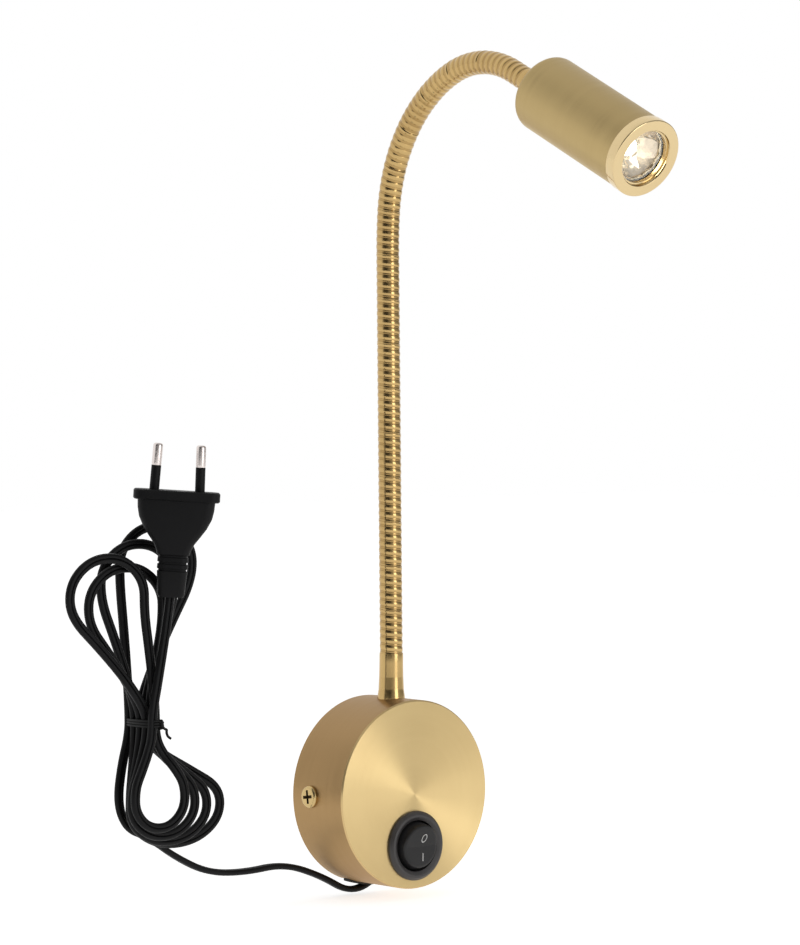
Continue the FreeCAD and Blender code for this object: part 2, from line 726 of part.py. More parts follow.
def faceted_ring(outline, start):
    """A many-sided ring that follows the neck: each outline point becomes a loop of corners."""
    loops = []
    for radius, distance in outline:
        ahead = min(max(start + distance, 0.0), neck.length)
        frame = neck.frame(ahead)
        slip = Vector(0, 0, start + distance - ahead)
        loops.append([frame.multVec(c + slip) for c in ring_of(HOSE_SIDES, radius)])
    return skinned(loops, closed=True)


def neck_links():
    """The bendable neck, split at even steps. Each link has its ribs, its bore, a cup below and
    a spigot above that stands in the next link's cup."""
    length = neck.length / LINKS
    for i in range(LINKS):
        outline = link_outline(i == 0, i == LINKS - 1)
        shape_piece("neck_link_%02d" % (i + 1), faceted_ring(outline, i * length))


# ---------------------------------------------------------------- spot head
END = neck.frame(neck.length)
HOUSING_START = num("head_start") + 0.7          # the collar's foot is this much thicker
RING_START = HOUSING_START + num("head_length")
LENS_HEIGHT, LENS_SPACE, SINK_HEIGHT = 9.8, 3.0, 22.0
LENS_START = RING_START + 1.8 - LENS_HEIGHT
BOARD_START = LENS_START - LENS_SPACE
SINK_START = BOARD_START - SINK_HEIGHT


def along_head(distance, turn=0.0):
    """Placement on the head's axis, a distance past the end of the ribs."""
    return END.multiply(Placement(Vector(0, 0, plain(distance)), Rotation(Z_AXIS, turn)))


def head_collar():
    """The flared stub behind the head: the neck's end is in its mouth and its stud in the head."""
    body = turned("head_collar_turned", collar_outline(Length(5.0, "5.0")))
    flip = along_head(num("head_start")).multiply(Placement(Vector(), Rotation(X_AXIS, 180)))
    keep(body, "head_collar", flip)


def head_housing():
    """The tube of the head, with a closed back of rounded edge and an open front."""
    radius, wall, length = cell("head_radius"), cell("head_wall"), cell("head_length")
    hole = cell("stud_radius") + 0.05
    body = turned("head_turned", [
        (hole, 0), (radius - 3.2, 0), (radius - 1.0, 0.9), (radius, 3.2), (radius, length),
        (radius - wall, length), (radius - wall, wall), (hole, wall)])
    keep(body, "head_housing", along_head(HOUSING_START))
    lock_nut("head_nut", along_head(HOUSING_START + num("head_wall") + 0.02))


def heat_sink():
    """The finned aluminium slug that carries the light source and stands in the head's tube."""
    fins = 10
    outer = num("head_radius") - num("head_wall")
    body = padded("sink_slug", SINK_HEIGHT, radius=cell("head_radius") - cell("head_wall") - 0.1)
    def slot(sketch):
        draw_outline(sketch, [(8.0, -1.3), (outer + 1, -1.3), (outer + 1, 1.3), (8.0, 1.3)])
    pocket(body, slot)
    first_slot = body.Tip
    pattern = body.newObject("PartDesign::PolarPattern", "sink_fins")
    pattern.Originals = [first_slot]
    turn_axis = next(f for f in body.Origin.OriginFeatures if f.Role == "Z_Axis")
    pattern.Axis = (turn_axis, [""])
    pattern.Angle = 360
    pattern.Occurrences = fins
    body.Tip = pattern
    doc.recompute()
    pocket(body, lambda sketch: draw_circle(sketch, 2.0))
    keep(body, "heat_sink", along_head(SINK_START))


def light_source():
    """The six-sided board, bonded to the heat sink, with its square light-emitting chip."""
    board = padded("board_plate", 1.5, corners=even_corners(6, 10.4))
    keep(board, "led_board", along_head(BOARD_START))
    chip = padded("chip_block", 0.9, corners=[(-2.5, -2.5), (2.5, -2.5), (2.5, 2.5), (-2.5, 2.5)])
    keep(chip, "led_chip", along_head(BOARD_START + 1.5))


def head_wires():
    """Two wires from the collar's bore, through the heat sink's bore, up to the board."""
    start, length = num("head_start") + 1.0, BOARD_START - num("head_start") - 1.0
    wires = [prism(6, 0.7, length, start).translated(Vector(side * 0.9, 0, 0)) for side in (-1, 1)]
    shape_piece("head_wires", Part.makeCompound(wires), along_head(0))


def lens_and_holder():
    """The clear bell-shaped lens over the chip, in its holder ring."""
    rim, high = 12.2, LENS_HEIGHT
    flange = high - 1.2
    lens = turned("lens_turned", [
        (0, 0), (4.6, 0), (9.6, flange), (rim, flange), (rim, high), (0, high)])
    keep(lens, "collimator_lens", along_head(LENS_START))
    sides = 12
    holder = padded("holder_ring", LENS_SPACE + flange - 0.02, corners=even_corners(sides, rim))
    pocket(holder, lambda sketch: draw_outline(sketch, even_corners(sides, 11.0)))
    keep(holder, "lens_holder", along_head(BOARD_START))


def front_ring():
    """The polished ring on the head's front: a spigot in the tube and a stepped mouth."""
    radius, length, mouth = cell("ring_radius"), cell("ring_length"), cell("ring_mouth")
    spigot, seat = cell("head_radius") - cell("head_wall") - 0.08, 1.82
    ring = turned("ring_turned", [
        (12.5, -4.0), (spigot, -4.0), (spigot, 0), (radius, 0), (radius, length - 0.6),
        (radius - 0.6, length), (mouth, length), (mouth, length - 1.6), (mouth - 0.5, length - 1.6),
        (mouth - 0.5, seat), (12.5, seat)])
    keep(ring, "front_ring", along_head(RING_START))


# ---------------------------------------------------------------- lead, hank and plug
def hank_layer(k):
    """How far a layer of the hank lies from the wall."""
    return -2.5 - num("layer_step") * k


WAIST_HALF = 5.0        # half the height of the straight strands through the tie
LOBE_ANGLES = [-112.5 + 45 * j for j in range(6)]     # corners round a loop's end, from its top
LEG_STEPS = 3           # runs in each leg, from the waist to the loop's end
HANK_ENTRY = [(6.5, -47.5), (-3.5, -43.5), (-8.0, -33.0), (-6.0, -18.0)]
HANK_EXIT = [(0.5, 17.0)]


def lobe(fan, reach, half_width, half_height):
    """Points of one loop, from its left leg to its right: (x, distance from the waist).
    Two bowed legs meet an oval end whose middle leans by the fan angle."""
    far, lean = reach - half_height, math.radians(fan)
    middle = (far * math.sin(lean), WAIST_HALF + far * math.cos(lean))
    grow = 1 / math.cos(math.radians(22.5))
    end = [(middle[0] + half_width * grow * math.sin(math.radians(a)),
            middle[1] + half_height * grow * math.cos(math.radians(a))) for a in LOBE_ANGLES]

    def leg(side, corner):
        shares = [j / LEG_STEPS for j in range(1, LEG_STEPS)]
        start = side * num("strand_step") / 2
        return [(start + (corner[0] - start) * share ** 1.2,
                 WAIST_HALF + (corner[1] - WAIST_HALF) * share) for share in shares]

    return leg(-1, end[0]) + end + leg(1, end[-1])[::-1]


def upper_lobe(k):
    """The loop above the tie on turn k: the loops fan from right to left."""
    return lobe(11 - 12 * k, 68 + 8 * math.cos(math.pi * k / 2), 18.5, 16)


def lower_lobe(k):
    """The loop below the tie on turn k, from its right leg to its left: each is smaller."""
    return [(x, -z) for x, z in reversed(lobe(24 - 5 * k, 50 - 4 * k, 23 - 3.5 * k, 15 - k))]


def hank_points():
    """Route of the hank: in at the lower left, up through the waist, then round each turn.
    A turn keeps to its own layer, and climbs to the next along one run of its lower right leg."""
    left, right = -num("strand_step") / 2, num("strand_step") / 2
    route = [(x, hank_layer(0), z) for x, z in HANK_ENTRY]
    for k in range(TURNS + 1):
        layer, after = hank_layer(k), hank_layer(k + 1)
        route += [(left, layer, -WAIST_HALF), (left, layer, WAIST_HALF)]
        if k < TURNS:
            route += [(x, layer, z) for x, z in upper_lobe(k)]
            route += [(right, layer, WAIST_HALF), (right, layer, -WAIST_HALF)]
            legs = lower_lobe(k)
            route += [(x, layer, z) for x, z in legs[:1]] + [(x, after, z) for x, z in legs[1:]]
    route += [(x, hank_layer(TURNS), z) for x, z in HANK_EXIT]
    origin = Vector(num("hank_x"), 0, num("hank_z"))
    return [origin + Vector(*p) for p in route]


def cords():
    """The lead from the base to the hank, the hank, and the lead from the hank to the plug."""
    hank = hank_points()
    foot = PLUG_PLACE.multVec(Vector(0, 0, -36.2))
    under = PLUG_PLACE.multVec(Vector(0, 0, -46.0))
    into, out = (LEAD_ROUTE[-1] + hank[0]) * 0.5, (hank[-1] + under) * 0.5
    stretches = (("power_cord_lead", LEAD_ROUTE + [into]), ("cord_hank", [into] + hank + [out]),
                 ("plug_lead", [out, under, foot]))
    radius = num("cord_radius")
    for label, points in stretches:
        route, radii = rounded_route(points)
        solid = tube(route, radius, CORD_SIDES)
        report_tube(label, solid, route, radii, radius, CORD_SIDES)
        if label == "cord_hank":
            print("   least gap to itself %.2f mm" % least_self_gap(route, 2 * radius))
        shape_piece(label, solid)


def cord_tie():
    """The twisted tie round the hank's waist."""
    strand, radius = num("strand_step") / 2, num("cord_radius")
    front, back = hank_layer(TURNS) - radius - 0.05, hank_layer(0) + radius + 0.05
    inner = (strand + radius + 0.05, (back - front) / 2)
    middle = (front + back) / 2
    shells = []
    for grow, corner, high in ((0.7, 1.6, 3.2), (0.0, 0.6, 4.0)):
        wide, deep = inner[0] + grow, inner[1] + grow
        outline = [Vector(x, y, -high / 2) for x, y in (
            (wide, corner - deep), (wide, deep - corner), (wide - corner, deep),
            (corner - wide, deep), (-wide, deep - corner), (-wide, corner - deep),
            (corner - wide, -deep), (wide - corner, -deep))]
        shells.append(Part.Face(Part.makePolygon(outline + outline[:1])).extrude(Z_AXIS * high))
    shape_piece("cord_tie", shells[0].cut(shells[1]), Placement(
        Vector(num("hank_x"), middle, num("hank_z")), Rotation()))


PLUG_PLACE = Placement(
    Vector(-116.4, -19.6, 131.0), Rotation(Z_AXIS, -36).multiply(Rotation(Y_AXIS, 3.4)))


def plug_section(half_width, half_thickness, z, corner):
    """Corners of a rectangle at height z whose own corners are taken off in two steps."""
    steps = ((corner, 0.0), (corner * 0.29, corner * 0.29), (0.0, corner))
    points = []
    for x_side, y_side in ((1, 1), (-1, 1), (-1, -1), (1, -1)):
        around = steps if x_side * y_side < 0 else steps[::-1]
        points += [Vector(x_side * (half_width - dx), y_side * (half_thickness - dy), z)
                   for dx, dy in around]
    return points


def plug():
    """The flat two-pin plug: flange, waisted grip and sleeve, two pins with insulated roots."""
    wide, thick = num("plug_half_width"), num("plug_half_thickness")
    flange = skinned([plug_section(wide, thick, z, 4.0) for z in (-4.6, 0)])
    grip = skinned([
        plug_section(5.6, 4.6, -25.0, 3.0), plug_section(6.6, 5.0, -20.0, 3.0),
        plug_section(wide - 8.2, thick - 1.4, -15.0, 3.0),
        plug_section(wide - 3.6, thick - 1.0, -9.5, 3.2),
        plug_section(wide - 1.9, thick - 0.8, -4.6, 3.4)])
    sleeve = skinned([[corner + Z_AXIS * z for corner in ring_of(12, radius)]
                      for radius, z in ((3.2, -36.2), (4.4, -25.0))])
    body = flange.fuse(grip).fuse(sleeve)
    half = num("pin_half_spacing")
    lean = math.degrees(math.atan((18.6 - 17.5) / 2 / num("pin_length")))
    radius, length, root = num("pin_radius"), num("pin_length"), num("pin_sleeve_length")
    core, sides, sunk = radius - 0.2, 12, 3.0
    pins, sleeves, rooms = [], [], []
    for side in (-1, 1):
        place = Placement(Vector(side * half, 0, 0), Rotation(Y_AXIS, -side * lean))
        stem = prism(sides, core, root + sunk, -sunk).fuse(prism(sides, radius, length - root, root))
        cover = prism(sides, radius, root + sunk, -sunk).cut(prism(sides, core, root + 9, -4.5))
        room = Part.makeCylinder(radius + 0.02, 6, Vector(0, 0, -sunk), Z_AXIS)
        for group, shape in ((pins, stem), (sleeves, cover), (rooms, room)):
            shape.Placement = place
            group.append(shape)
    shape_piece("plug_body", body.cut(rooms), PLUG_PLACE)
    shape_piece("plug_pins", Part.makeCompound(pins), PLUG_PLACE)
    shape_piece("pin_sleeves", Part.makeCompound(sleeves), PLUG_PLACE)


# ---------------------------------------------------------------- build and write
def main():
    base_housing()
    wall_plate()
    side_screws()
    neck_collar()
    collar_fastening()
    switch_body()
    switch_rocker()
    switch_terminals()
    led_driver()
    terminal_block()
    inner_wires()
    cord_bush()
    cord_clip()
    neck_links()
    head_collar()
    head_housing()
    heat_sink()
    light_source()
    head_wires()
    lens_and_holder()
    front_ring()
    plug()
    cords()
    cord_tie()
    doc.recompute()
    for thing in doc.Objects:
        if "Invalid" in thing.State or "Error" in thing.State:
            raise RuntimeError("%s failed: %s" % (thing.Label, thing.State))
    os.makedirs("parts", exist_ok=True)
    for piece in PARTS:
        if piece.Shape.isNull() or not piece.Shape.isValid():
            raise RuntimeError("%s has no valid shape" % piece.Label)
    for piece in PARTS:
        piece.Shape.exportStep("parts/%s.step" % piece.Label)
    print("neck length %.1f mm, %d sub-parts" % (neck.length, len(PARTS)))


main()
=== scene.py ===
"""Looks of the bedside wall reading lamp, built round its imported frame.

Metres, +Z up, the wall at y = 0 and the lamp facing -Y. The lamp's sizes are written in
millimetres, and MM turns them into metres as each mesh is made.
"""
import math

import bmesh
import bpy
from mathutils import Matrix, Vector


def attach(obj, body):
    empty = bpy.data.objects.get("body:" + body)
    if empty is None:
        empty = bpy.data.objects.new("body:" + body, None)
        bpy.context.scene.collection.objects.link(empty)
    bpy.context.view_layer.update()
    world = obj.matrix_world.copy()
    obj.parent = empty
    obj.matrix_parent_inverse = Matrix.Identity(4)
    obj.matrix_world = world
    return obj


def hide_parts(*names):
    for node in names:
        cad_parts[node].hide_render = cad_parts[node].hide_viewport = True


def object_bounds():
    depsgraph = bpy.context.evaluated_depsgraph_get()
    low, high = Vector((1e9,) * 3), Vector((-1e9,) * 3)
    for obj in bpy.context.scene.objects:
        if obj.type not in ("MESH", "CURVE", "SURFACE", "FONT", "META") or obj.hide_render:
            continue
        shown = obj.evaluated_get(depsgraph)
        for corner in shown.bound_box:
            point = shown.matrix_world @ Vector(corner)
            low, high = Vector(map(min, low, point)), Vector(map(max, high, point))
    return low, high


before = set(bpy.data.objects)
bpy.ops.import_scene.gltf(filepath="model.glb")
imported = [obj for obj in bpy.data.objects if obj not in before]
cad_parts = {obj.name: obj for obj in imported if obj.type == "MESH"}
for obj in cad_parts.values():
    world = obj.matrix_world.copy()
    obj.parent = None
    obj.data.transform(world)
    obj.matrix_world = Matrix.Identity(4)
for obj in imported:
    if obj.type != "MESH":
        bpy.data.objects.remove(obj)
CAD_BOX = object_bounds()

MM = 0.001
Z = Vector((0, 0, 1))

BASE_RADIUS, BASE_DEPTH = 40.0, 32.5
SCREW_OUT = 12.0                        # the side screws' distance from the wall
SWITCH_DROP = 21.7                      # the switch's distance below the base's middle
NECK_OUT = 16.6                         # the neck's distance from the wall
COLLAR_LENGTH, STUB_LENGTH = 19.0, 10.5     # the ferrules on the base and behind the head
STUB_END = 19.0                         # from the neck's end to the wide end of the head's ferrule


# ---------------------------------------------------------------- mesh helpers
def piece(name, verts, faces, material, sharp=35.0):
    """A mesh object with smooth faces and sharp edges where its faces turn by more than an angle."""
    mesh = bpy.data.meshes.new(name)
    mesh.from_pydata(verts, [], faces)
    work = bmesh.new()
    work.from_mesh(mesh)
    bmesh.ops.remove_doubles(work, verts=work.verts, dist=1e-7)
    bmesh.ops.recalc_face_normals(work, faces=work.faces)
    for face in work.faces:
        face.smooth = True
    work.to_mesh(mesh)
    work.free()
    mesh.set_sharp_from_angle(angle=math.radians(sharp))
    mesh.materials.append(material)
    thing = bpy.data.objects.new(name, mesh)
    bpy.context.scene.collection.objects.link(thing)
    return thing


def eased(outline, radii, steps=5):
    """The outline with its corners rounded: radii gives a corner's index and its radius."""
    count, points = len(outline), []
    for i, corner in enumerate(outline):
        if i not in radii:
            points.append(corner)
            continue
        here = Vector(corner)
        before, after = Vector(outline[i - 1]), Vector(outline[(i + 1) % count])
        into, out = (before - here).normalized(), (after - here).normalized()
        half = into.angle(out) / 2
        reach = radii[i] / math.tan(half)
        middle = here + (into + out).normalized() * (radii[i] / math.sin(half))
        first, last = here + into * reach - middle, here + out * reach - middle
        for j in range(steps + 1):
            mix = first.lerp(last, j / steps).normalized() * radii[i]
            points.append(tuple(middle + mix))
    return points


def lathe(name, outline, place, material, sides=96, sharp=35.0):
    """A solid turned about the Z axis of place, from a half outline of (radius, height) in mm."""
    verts, loops, faces = [], [], []
    for radius, height in outline:
        count = 1 if radius < 1e-6 else sides
        loops.append([len(verts) + j for j in range(count)])
        for j in range(count):
            a = 2 * math.pi * j / sides
            verts.append(place @ (Vector((radius * math.cos(a), radius * math.sin(a), height)) * MM))
    for here, after in zip(loops, loops[1:] + loops[:1]):
        if len(here) == 1 and len(after) == 1:
            continue
        for j in range(sides):
            k = (j + 1) % sides
            corners = [here[j % len(here)], here[k % len(here)], after[k % len(after)],
                       after[j % len(after)]]
            faces.append(list(dict.fromkeys(corners)))
    return piece(name, verts, faces, material, sharp)


def bands(rows, around):
    """Quads between neighbouring rows of points, where each row is a closed loop."""
    faces = []
    for r in range(rows - 1):
        for j in range(around):
            k = (j + 1) % around
            faces.append([r * around + j, r * around + k, (r + 1) * around + k, (r + 1) * around + j])
    return faces


def at(x, y, z, rotation=None):
    """A placement in the row frame from millimetres."""
    turn = rotation.to_4x4() if rotation else Matrix.Identity(4)
    return Matrix.Translation(Vector((x, y, z)) * MM) @ turn


def about(axis, degrees):
    """A turn about a named axis."""
    return Matrix.Rotation(math.radians(degrees), 3, axis)


def outward(azimuth, elevation):
    """Direction from the lamp to what stands at a bearing and a height, both in degrees."""
    a, e = math.radians(azimuth), math.radians(elevation)
    return Vector((math.sin(a) * math.cos(e), -math.cos(a) * math.cos(e), math.sin(e)))


# ---------------------------------------------------------------- node material helpers
def material(name):
    """A new material with its Principled shader."""
    made = bpy.data.materials.new(name)
    made.use_nodes = True
    return made


def shader(made, **values):
    """Sets plain values on the material's Principled shader and returns it."""
    principled = made.node_tree.nodes["Principled BSDF"]
    for key, value in values.items():
        principled.inputs[key.replace("_", " ")].default_value = value
    return principled


def node(made, kind, inputs=None, **settings):
    """A new node in a material or a world. Each input takes a value or another node's output."""
    fresh = made.node_tree.nodes.new(kind)
    for key, value in settings.items():
        setattr(fresh, key, value)
    for key, value in (inputs or {}).items():
        if isinstance(value, bpy.types.NodeSocket):
            made.node_tree.links.new(value, fresh.inputs[key])
        else:
            fresh.inputs[key].default_value = value
    return fresh


def link(made, source, target):
    made.node_tree.links.new(source, target)


def coordinates(made, scale=(1, 1, 1)):
    """Object coordinates, scaled."""
    where = node(made, "ShaderNodeTexCoord")
    return node(made, "ShaderNodeMapping", {"Vector": where.outputs["Object"], "Scale": scale}).outputs[0]


def vector(made, operation, *values):
    """A vector worked out from others, or a number where the operation gives one."""
    fresh = node(made, "ShaderNodeVectorMath", dict(enumerate(values)), operation=operation)
    return fresh.outputs["Value" if operation in ("DOT_PRODUCT", "LENGTH") else "Vector"]


def number(made, operation, *values, clamp=False):
    """A number worked out from others."""
    return node(made, "ShaderNodeMath", dict(enumerate(values)), operation=operation,
                use_clamp=clamp).outputs[0]


def round_axis(made, centre, axis):
    """The place from a centre, the direction round an axis, and the distance from that axis."""
    where = node(made, "ShaderNodeTexCoord").outputs["Object"]
    local = vector(made, "SUBTRACT", where, centre)
    round_it = vector(made, "CROSS_PRODUCT", local, axis)
    return local, round_it, vector(made, "LENGTH", round_it)


def noise(made, place, scale, detail=3.0, roughness=0.55):
    """Smooth noise at each place."""
    return node(made, "ShaderNodeTexNoise", {"Vector": place, "Scale": scale, "Detail": detail,
                                             "Roughness": roughness}).outputs["Fac"]


def spread(made, value, low, high, to_low, to_high):
    """Maps a value's range onto another."""
    return node(made, "ShaderNodeMapRange", {"Value": value, "From Min": low, "From Max": high,
                                             "To Min": to_low, "To Max": to_high}).outputs["Result"]


def soft_step(made, value, low, high):
    """0 below the range, 1 above it and a smooth rise between."""
    return node(made, "ShaderNodeMapRange", {"Value": value, "From Min": low, "From Max": high},
                interpolation_type="SMOOTHSTEP").outputs["Result"]


def tinted(made, factor, first, second):
    """A colour between two by a factor."""
    mix = node(made, "ShaderNodeMix", {"Factor": factor}, data_type="RGBA")
    mix.inputs[6].default_value = (*first, 1)
    mix.inputs[7].default_value = (*second, 1)
    return mix.outputs[2]


def bumped(made, principled, height, strength, distance):
    """Raises the surface by a height, of so many metres at most."""
    bump = node(made, "ShaderNodeBump", {"Height": height, "Strength": strength,
                                         "Distance": distance})
    link(made, bump.outputs["Normal"], principled.inputs["Normal"])


# ---------------------------------------------------------------- materials
def turned_brass(name, axis, centre, face_painted_colour, wall_painted_colour, roughness):
    """Satin brass turned about an axis: fine rings of brushing and faint clouding, with painted light and
    shade: faces across the axis and the walls round it are painted in two colours for how light falls on
    each."""
    made = material(name)
    principled = shader(made, Metallic=1.0, Anisotropic=0.9)
    local, round_it, away = round_axis(made, centre, axis)
    across = number(made, "ADD", vector(made, "DOT_PRODUCT", local, axis), away)
    lined = node(made, "ShaderNodeCombineXYZ", {0: across}).outputs[0]
    stretched = vector(made, "MULTIPLY", lined, (1800, 1, 1))
    drift = vector(made, "MULTIPLY", local, (25, 25, 25))
    rings = noise(made, vector(made, "ADD", stretched, drift), 1.0, 3.0, 0.6)
    clouds = noise(made, coordinates(made), 30.0, 3.0, 0.5)
    normal = node(made, "ShaderNodeNewGeometry").outputs["True Normal"]
    facing = node(made, "ShaderNodeVectorTransform", {0: normal}, vector_type="NORMAL",
                  convert_from="WORLD", convert_to="OBJECT").outputs[0]
    flatness = number(made, "ABSOLUTE", vector(made, "DOT_PRODUCT", facing, axis))
    # painted light and shade: faces across the axis take the face colour and walls round it the wall
    # colour, less random clouding
    painted_light_and_cloud_tone = number(made, "SUBTRACT", flatness, spread(made, clouds, 0.3, 0.7, 0.0, 0.14), clamp=True)
    link(made, tinted(made, painted_light_and_cloud_tone, wall_painted_colour, face_painted_colour), principled.inputs["Base Color"])
    link(made, spread(made, rings, 0.3, 0.7, roughness - 0.03, roughness + 0.05),
         principled.inputs["Roughness"])
    tangent = node(made, "ShaderNodeVectorTransform", {0: vector(made, "CROSS_PRODUCT", facing, round_it)},
                   vector_type="VECTOR", convert_from="OBJECT", convert_to="WORLD").outputs[0]
    link(made, vector(made, "NORMALIZE", tangent), principled.inputs["Tangent"])
    bumped(made, principled, rings, 0.05, 0.00005)
    return made


def polished_brass(name, colour, dark, roughness, scratches):
    """Polished brass with faint scratches and random clouding. Where a mesh has a "depth" attribute,
    painted shade darkens its grooves.
    """
    made = material(name)
    principled = shader(made, Metallic=1.0)
    spots = noise(made, coordinates(made, (1, 1, 0.25)), 260.0, 5.0, 0.6)
    clouds = noise(made, coordinates(made), 45.0, 2.0)
    # painted shade: the deeper a point lies in a groove, the nearer its colour comes to the dark one; the
    # clouds are random tone
    depth = node(made, "ShaderNodeAttribute", attribute_name="depth").outputs["Fac"]
    shade = number(made, "ADD", depth, spread(made, clouds, 0.4, 0.7, 0.0, 0.18), clamp=True)
    link(made, tinted(made, shade, colour, dark), principled.inputs["Base Color"])
    link(made, spread(made, spots, 0.3, 0.7, roughness - 0.03, roughness + 0.07),
         principled.inputs["Roughness"])
    bumped(made, principled, spots, scratches, 0.0001)
    return made


def moulded(name, colour, roughness, grain, strength, gloss=0.5):
    """Moulded plastic or rubber: fine spark-eroded grain and uneven gloss."""
    made = material(name)
    principled = shader(made, Specular_IOR_Level=gloss)
    clouds = noise(made, coordinates(made), 55.0, 3.0)
    light = tuple(min(1.0, c * 1.35 + 0.004) for c in colour)
    link(made, tinted(made, spread(made, clouds, 0.35, 0.7, 0, 1), colour, light),
         principled.inputs["Base Color"])
    link(made, spread(made, clouds, 0.3, 0.7, roughness - 0.05, roughness + 0.08),
         principled.inputs["Roughness"])
    bumped(made, principled, noise(made, coordinates(made), grain, 2.0), strength, 0.0001)
    return made


def plated(name, colour, roughness):
    """Plated or milled metal with fine lines and slight staining."""
    made = material(name)
    principled = shader(made, Metallic=1.0)
    lines = noise(made, coordinates(made, (1, 1, 14)), 300.0, 4.0)
    stain = noise(made, coordinates(made), 70.0, 4.0)
    dark = tuple(c * 0.72 for c in colour)
    link(made, tinted(made, spread(made, stain, 0.45, 0.75, 0, 1), colour, dark),
         principled.inputs["Base Color"])
    link(made, spread(made, lines, 0.3, 0.7, roughness - 0.05, roughness + 0.1),
         principled.inputs["Roughness"])
    bumped(made, principled, lines, 0.06, 0.0001)
    return made


def glowing(name, colour, strength):
    """A light source with a fine grain in its glow."""
    made = material(name)
    principled = shader(made, Base_Color=(*colour, 1), Emission_Strength=strength, Roughness=0.5)
    dots = noise(made, coordinates(made), 900.0, 2.0)
    link(made, tinted(made, spread(made, dots, 0.3, 0.7, 0, 1), colour, (1.0, 0.95, 0.82)),
         principled.inputs["Emission Color"])
    return made


def painted_glow_bowl(name, colour, glow, centre, axis):
    """A faceted metal bowl with painted glow: painted glowing round the light and fading to smoky towards
    its rim.
    """
    made = material(name)
    principled = shader(made, Metallic=1.0, Base_Color=(*colour, 1), Roughness=0.08)
    away = round_axis(made, centre, axis)[2]
    # painted glow: the bowl is painted brightest near its axis, fading towards its rim
    level = spread(made, away, 0.003, 0.0105, 0.7, 0.03)
    mottle = noise(made, coordinates(made), 420.0, 2.0)
    painted_glow_strength = number(made, "MULTIPLY", level, spread(made, mottle, 0.35, 0.65, 0.45, 1.15))
    link(made, painted_glow_strength, principled.inputs["Emission Strength"])
    principled.inputs["Emission Color"].default_value = (*glow, 1)
    return made


def clear(name, colour, roughness):
    """Clear plastic with a slight wave in its surface."""
    made = material(name)
    principled = shader(made, Base_Color=(*colour, 1), Transmission_Weight=1.0, IOR=1.49)
    wave = noise(made, coordinates(made), 120.0, 2.0)
    link(made, spread(made, wave, 0.3, 0.7, roughness, roughness + 0.03),
         principled.inputs["Roughness"])
    bumped(made, principled, wave, 0.05, 0.0002)
    return made


# ---------------------------------------------------------------- neck path
class NeckPath:
    """The neck's centre line in the plane X = 0, in mm: one straight and three bends."""
    STRAIGHT, LEAN = 169.5, -1.1
    BENDS = ((190.0, 5.5), (67.5, 61.6), (48.0, 49.5))
    FOOT = (-NECK_OUT, BASE_RADIUS + COLLAR_LENGTH)

    def __init__(self):
        self.spans, start = [], 0.0
        place, heading = self.FOOT, math.radians(self.LEAN)
        for radius, turn in ((0, self.STRAIGHT), *self.BENDS):
            length = turn if radius == 0 else radius * math.radians(turn)
            self.spans.append((start, radius, place, heading))
            place, heading = self.along(length, radius, place, heading)
            start += length
        self.length = start

    @staticmethod
    def along(distance, radius, place, heading):
        """Place and heading at a distance along a straight (radius 0) or a bend."""
        y, z = place
        if radius == 0:
            return (y - math.sin(heading) * distance, z + math.cos(heading) * distance), heading
        after = heading + distance / radius
        step = (math.cos(heading) - math.cos(after), math.sin(after) - math.sin(heading))
        return (y - radius * step[0], z + radius * step[1]), after

    def frame(self, distance):
        """Placement at a distance, Z along the neck and X the lamp's own. It runs on past the ends."""
        inside = min(max(distance, 0.0), self.length)
        start, radius, place, heading = [s for s in self.spans if s[0] <= inside + 1e-9][-1]
        (y, z), angle = self.along(inside - start, radius, place, heading)
        turn = Matrix.Rotation(angle, 4, "X")
        return (Matrix.Translation(Vector((0, y, z)) * MM) @ turn
                @ Matrix.Translation(Z * (distance - inside) * MM))


neck = NeckPath()
LINKS, RIBS_PER_LINK = 16, 6
PITCH = neck.length / (LINKS * RIBS_PER_LINK)
# one rib: radius in mm at even steps along its pitch, a broad crown and a narrow ridge
RIB = [4.72, 4.82, 4.88, 4.91, 4.93, 4.93, 4.91, 4.88, 4.80, 4.69, 4.78, 4.77]
# painted shade: below the first radius the hose is painted darker, fully so over the second
GROOVE_START, GROOVE_DEPTH = 4.84, 0.24     # a radius below the first darkens over the second
HOSE_SIDES = 40
EXTRA_RIBS = 3       # the last length runs on past the neck's end, into the head's ferrule


